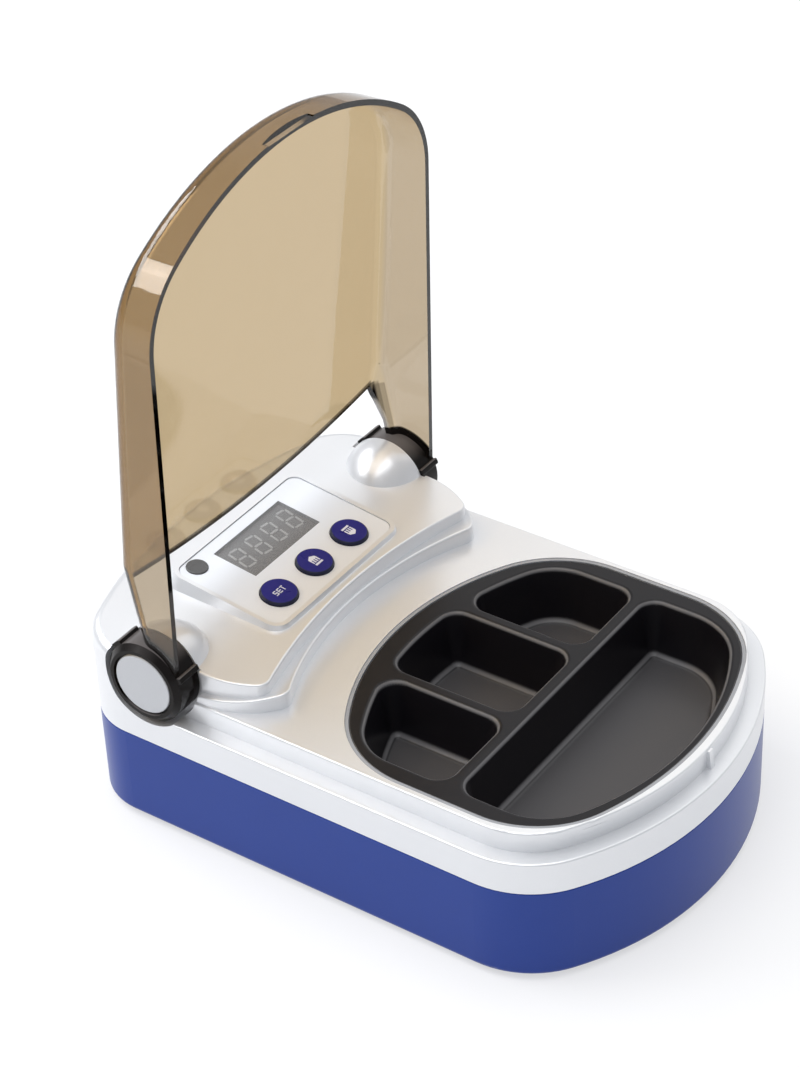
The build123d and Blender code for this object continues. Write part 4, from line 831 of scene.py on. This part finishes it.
def build_floor():
    mesh = bpy.data.meshes.new("floor")
    corners = [
        (-FLOOR_HALF, -FLOOR_HALF, 0),
        (FLOOR_HALF, -FLOOR_HALF, 0),
        (FLOOR_HALF, FLOOR_HALF, 0),
        (-FLOOR_HALF, FLOOR_HALF, 0),
    ]
    mesh.from_pydata(corners, [], [(0, 1, 2, 3)])
    mesh.materials.append(pale_floor())
    floor = bpy.data.objects.new("floor", mesh)
    bpy.context.scene.collection.objects.link(floor)


def build_world():
    """A pale room, brightest high on the heater's right. The camera itself sees it as plain white."""
    world = bpy.data.worlds.new("studio")
    bpy.context.scene.world = world
    world.use_nodes = True
    room = NodeBench(world.node_tree)
    way = room.node("ShaderNodeTexCoord").outputs["Generated"]
    toward_window = room.agreement(way, WINDOW_WAY) * 0.5 + 0.5
    shades = room.node("ShaderNodeValToRGB", stops=ROOM_SHADES, Fac=toward_window)
    light = room.node(
        "ShaderNodeBackground", Color=shades.outputs[0], Strength=ROOM_STRENGTH
    )
    sheet = room.node("ShaderNodeBackground", Color=(1.0, 1.0, 1.0))
    camera_ray = room.node("ShaderNodeLightPath").outputs["Is Camera Ray"]
    surface = room.blend_shaders(camera_ray, light.outputs[0], sheet.outputs[0])
    room.node("ShaderNodeOutputWorld", Surface=surface)


def soft_lamp(name, place, aim, size, power):
    """A rectangular lamp at a place and aimed at a point, in metres, with its power in watts."""
    lamp = bpy.data.lights.new(name, "AREA")
    lamp.shape = "RECTANGLE"
    lamp.size, lamp.size_y = size
    lamp.energy = power
    holder = bpy.data.objects.new(name, lamp)
    away = Vector(place) - Vector(aim)
    turn = away.to_track_quat("Z", "Y").to_matrix()
    holder.matrix_world = Matrix.Translation(place) @ turn.to_4x4()
    bpy.context.scene.collection.objects.link(holder)


def build_camera():
    """The camera, from its place, bearing, tilt, roll and focal length."""
    look = Vector(
        (
            -math.sin(CAMERA_BEARING) * math.cos(CAMERA_TILT),
            math.cos(CAMERA_BEARING) * math.cos(CAMERA_TILT),
            -math.sin(CAMERA_TILT),
        )
    )
    right = Vector((math.cos(CAMERA_BEARING), math.sin(CAMERA_BEARING), 0.0))
    up = right.cross(look)
    turned_right = right * math.cos(CAMERA_ROLL) + up * math.sin(CAMERA_ROLL)
    turned_up = up * math.cos(CAMERA_ROLL) - right * math.sin(CAMERA_ROLL)
    camera = bpy.data.cameras.new("view")
    camera.sensor_fit = "VERTICAL"
    camera.sensor_height = SENSOR_HEIGHT
    camera.lens = FOCAL_PIXELS * SENSOR_HEIGHT / FRAME_PIXELS
    camera.clip_start = NEAREST_SEEN
    holder = bpy.data.objects.new("view", camera)
    turn = Matrix((turned_right, turned_up, -look)).transposed()
    holder.matrix_world = Matrix.Translation(CAMERA_PLACE) @ turn.to_4x4()
    bpy.context.scene.collection.objects.link(holder)
    bpy.context.scene.camera = holder


build_floor()
build_world()
soft_lamp("overhead", (-0.35, 0.15, 1.5), aim=(0.0, 0.0, 0.05), size=(1.5, 1.5), power=14.5)
soft_lamp(
    "rear_window", (-0.25, 0.95, 0.95), aim=(0.0, 0.0, 0.15), size=(1.15, 0.34), power=10.0
)
build_camera()
bpy.context.scene.view_settings.view_transform = "Standard"
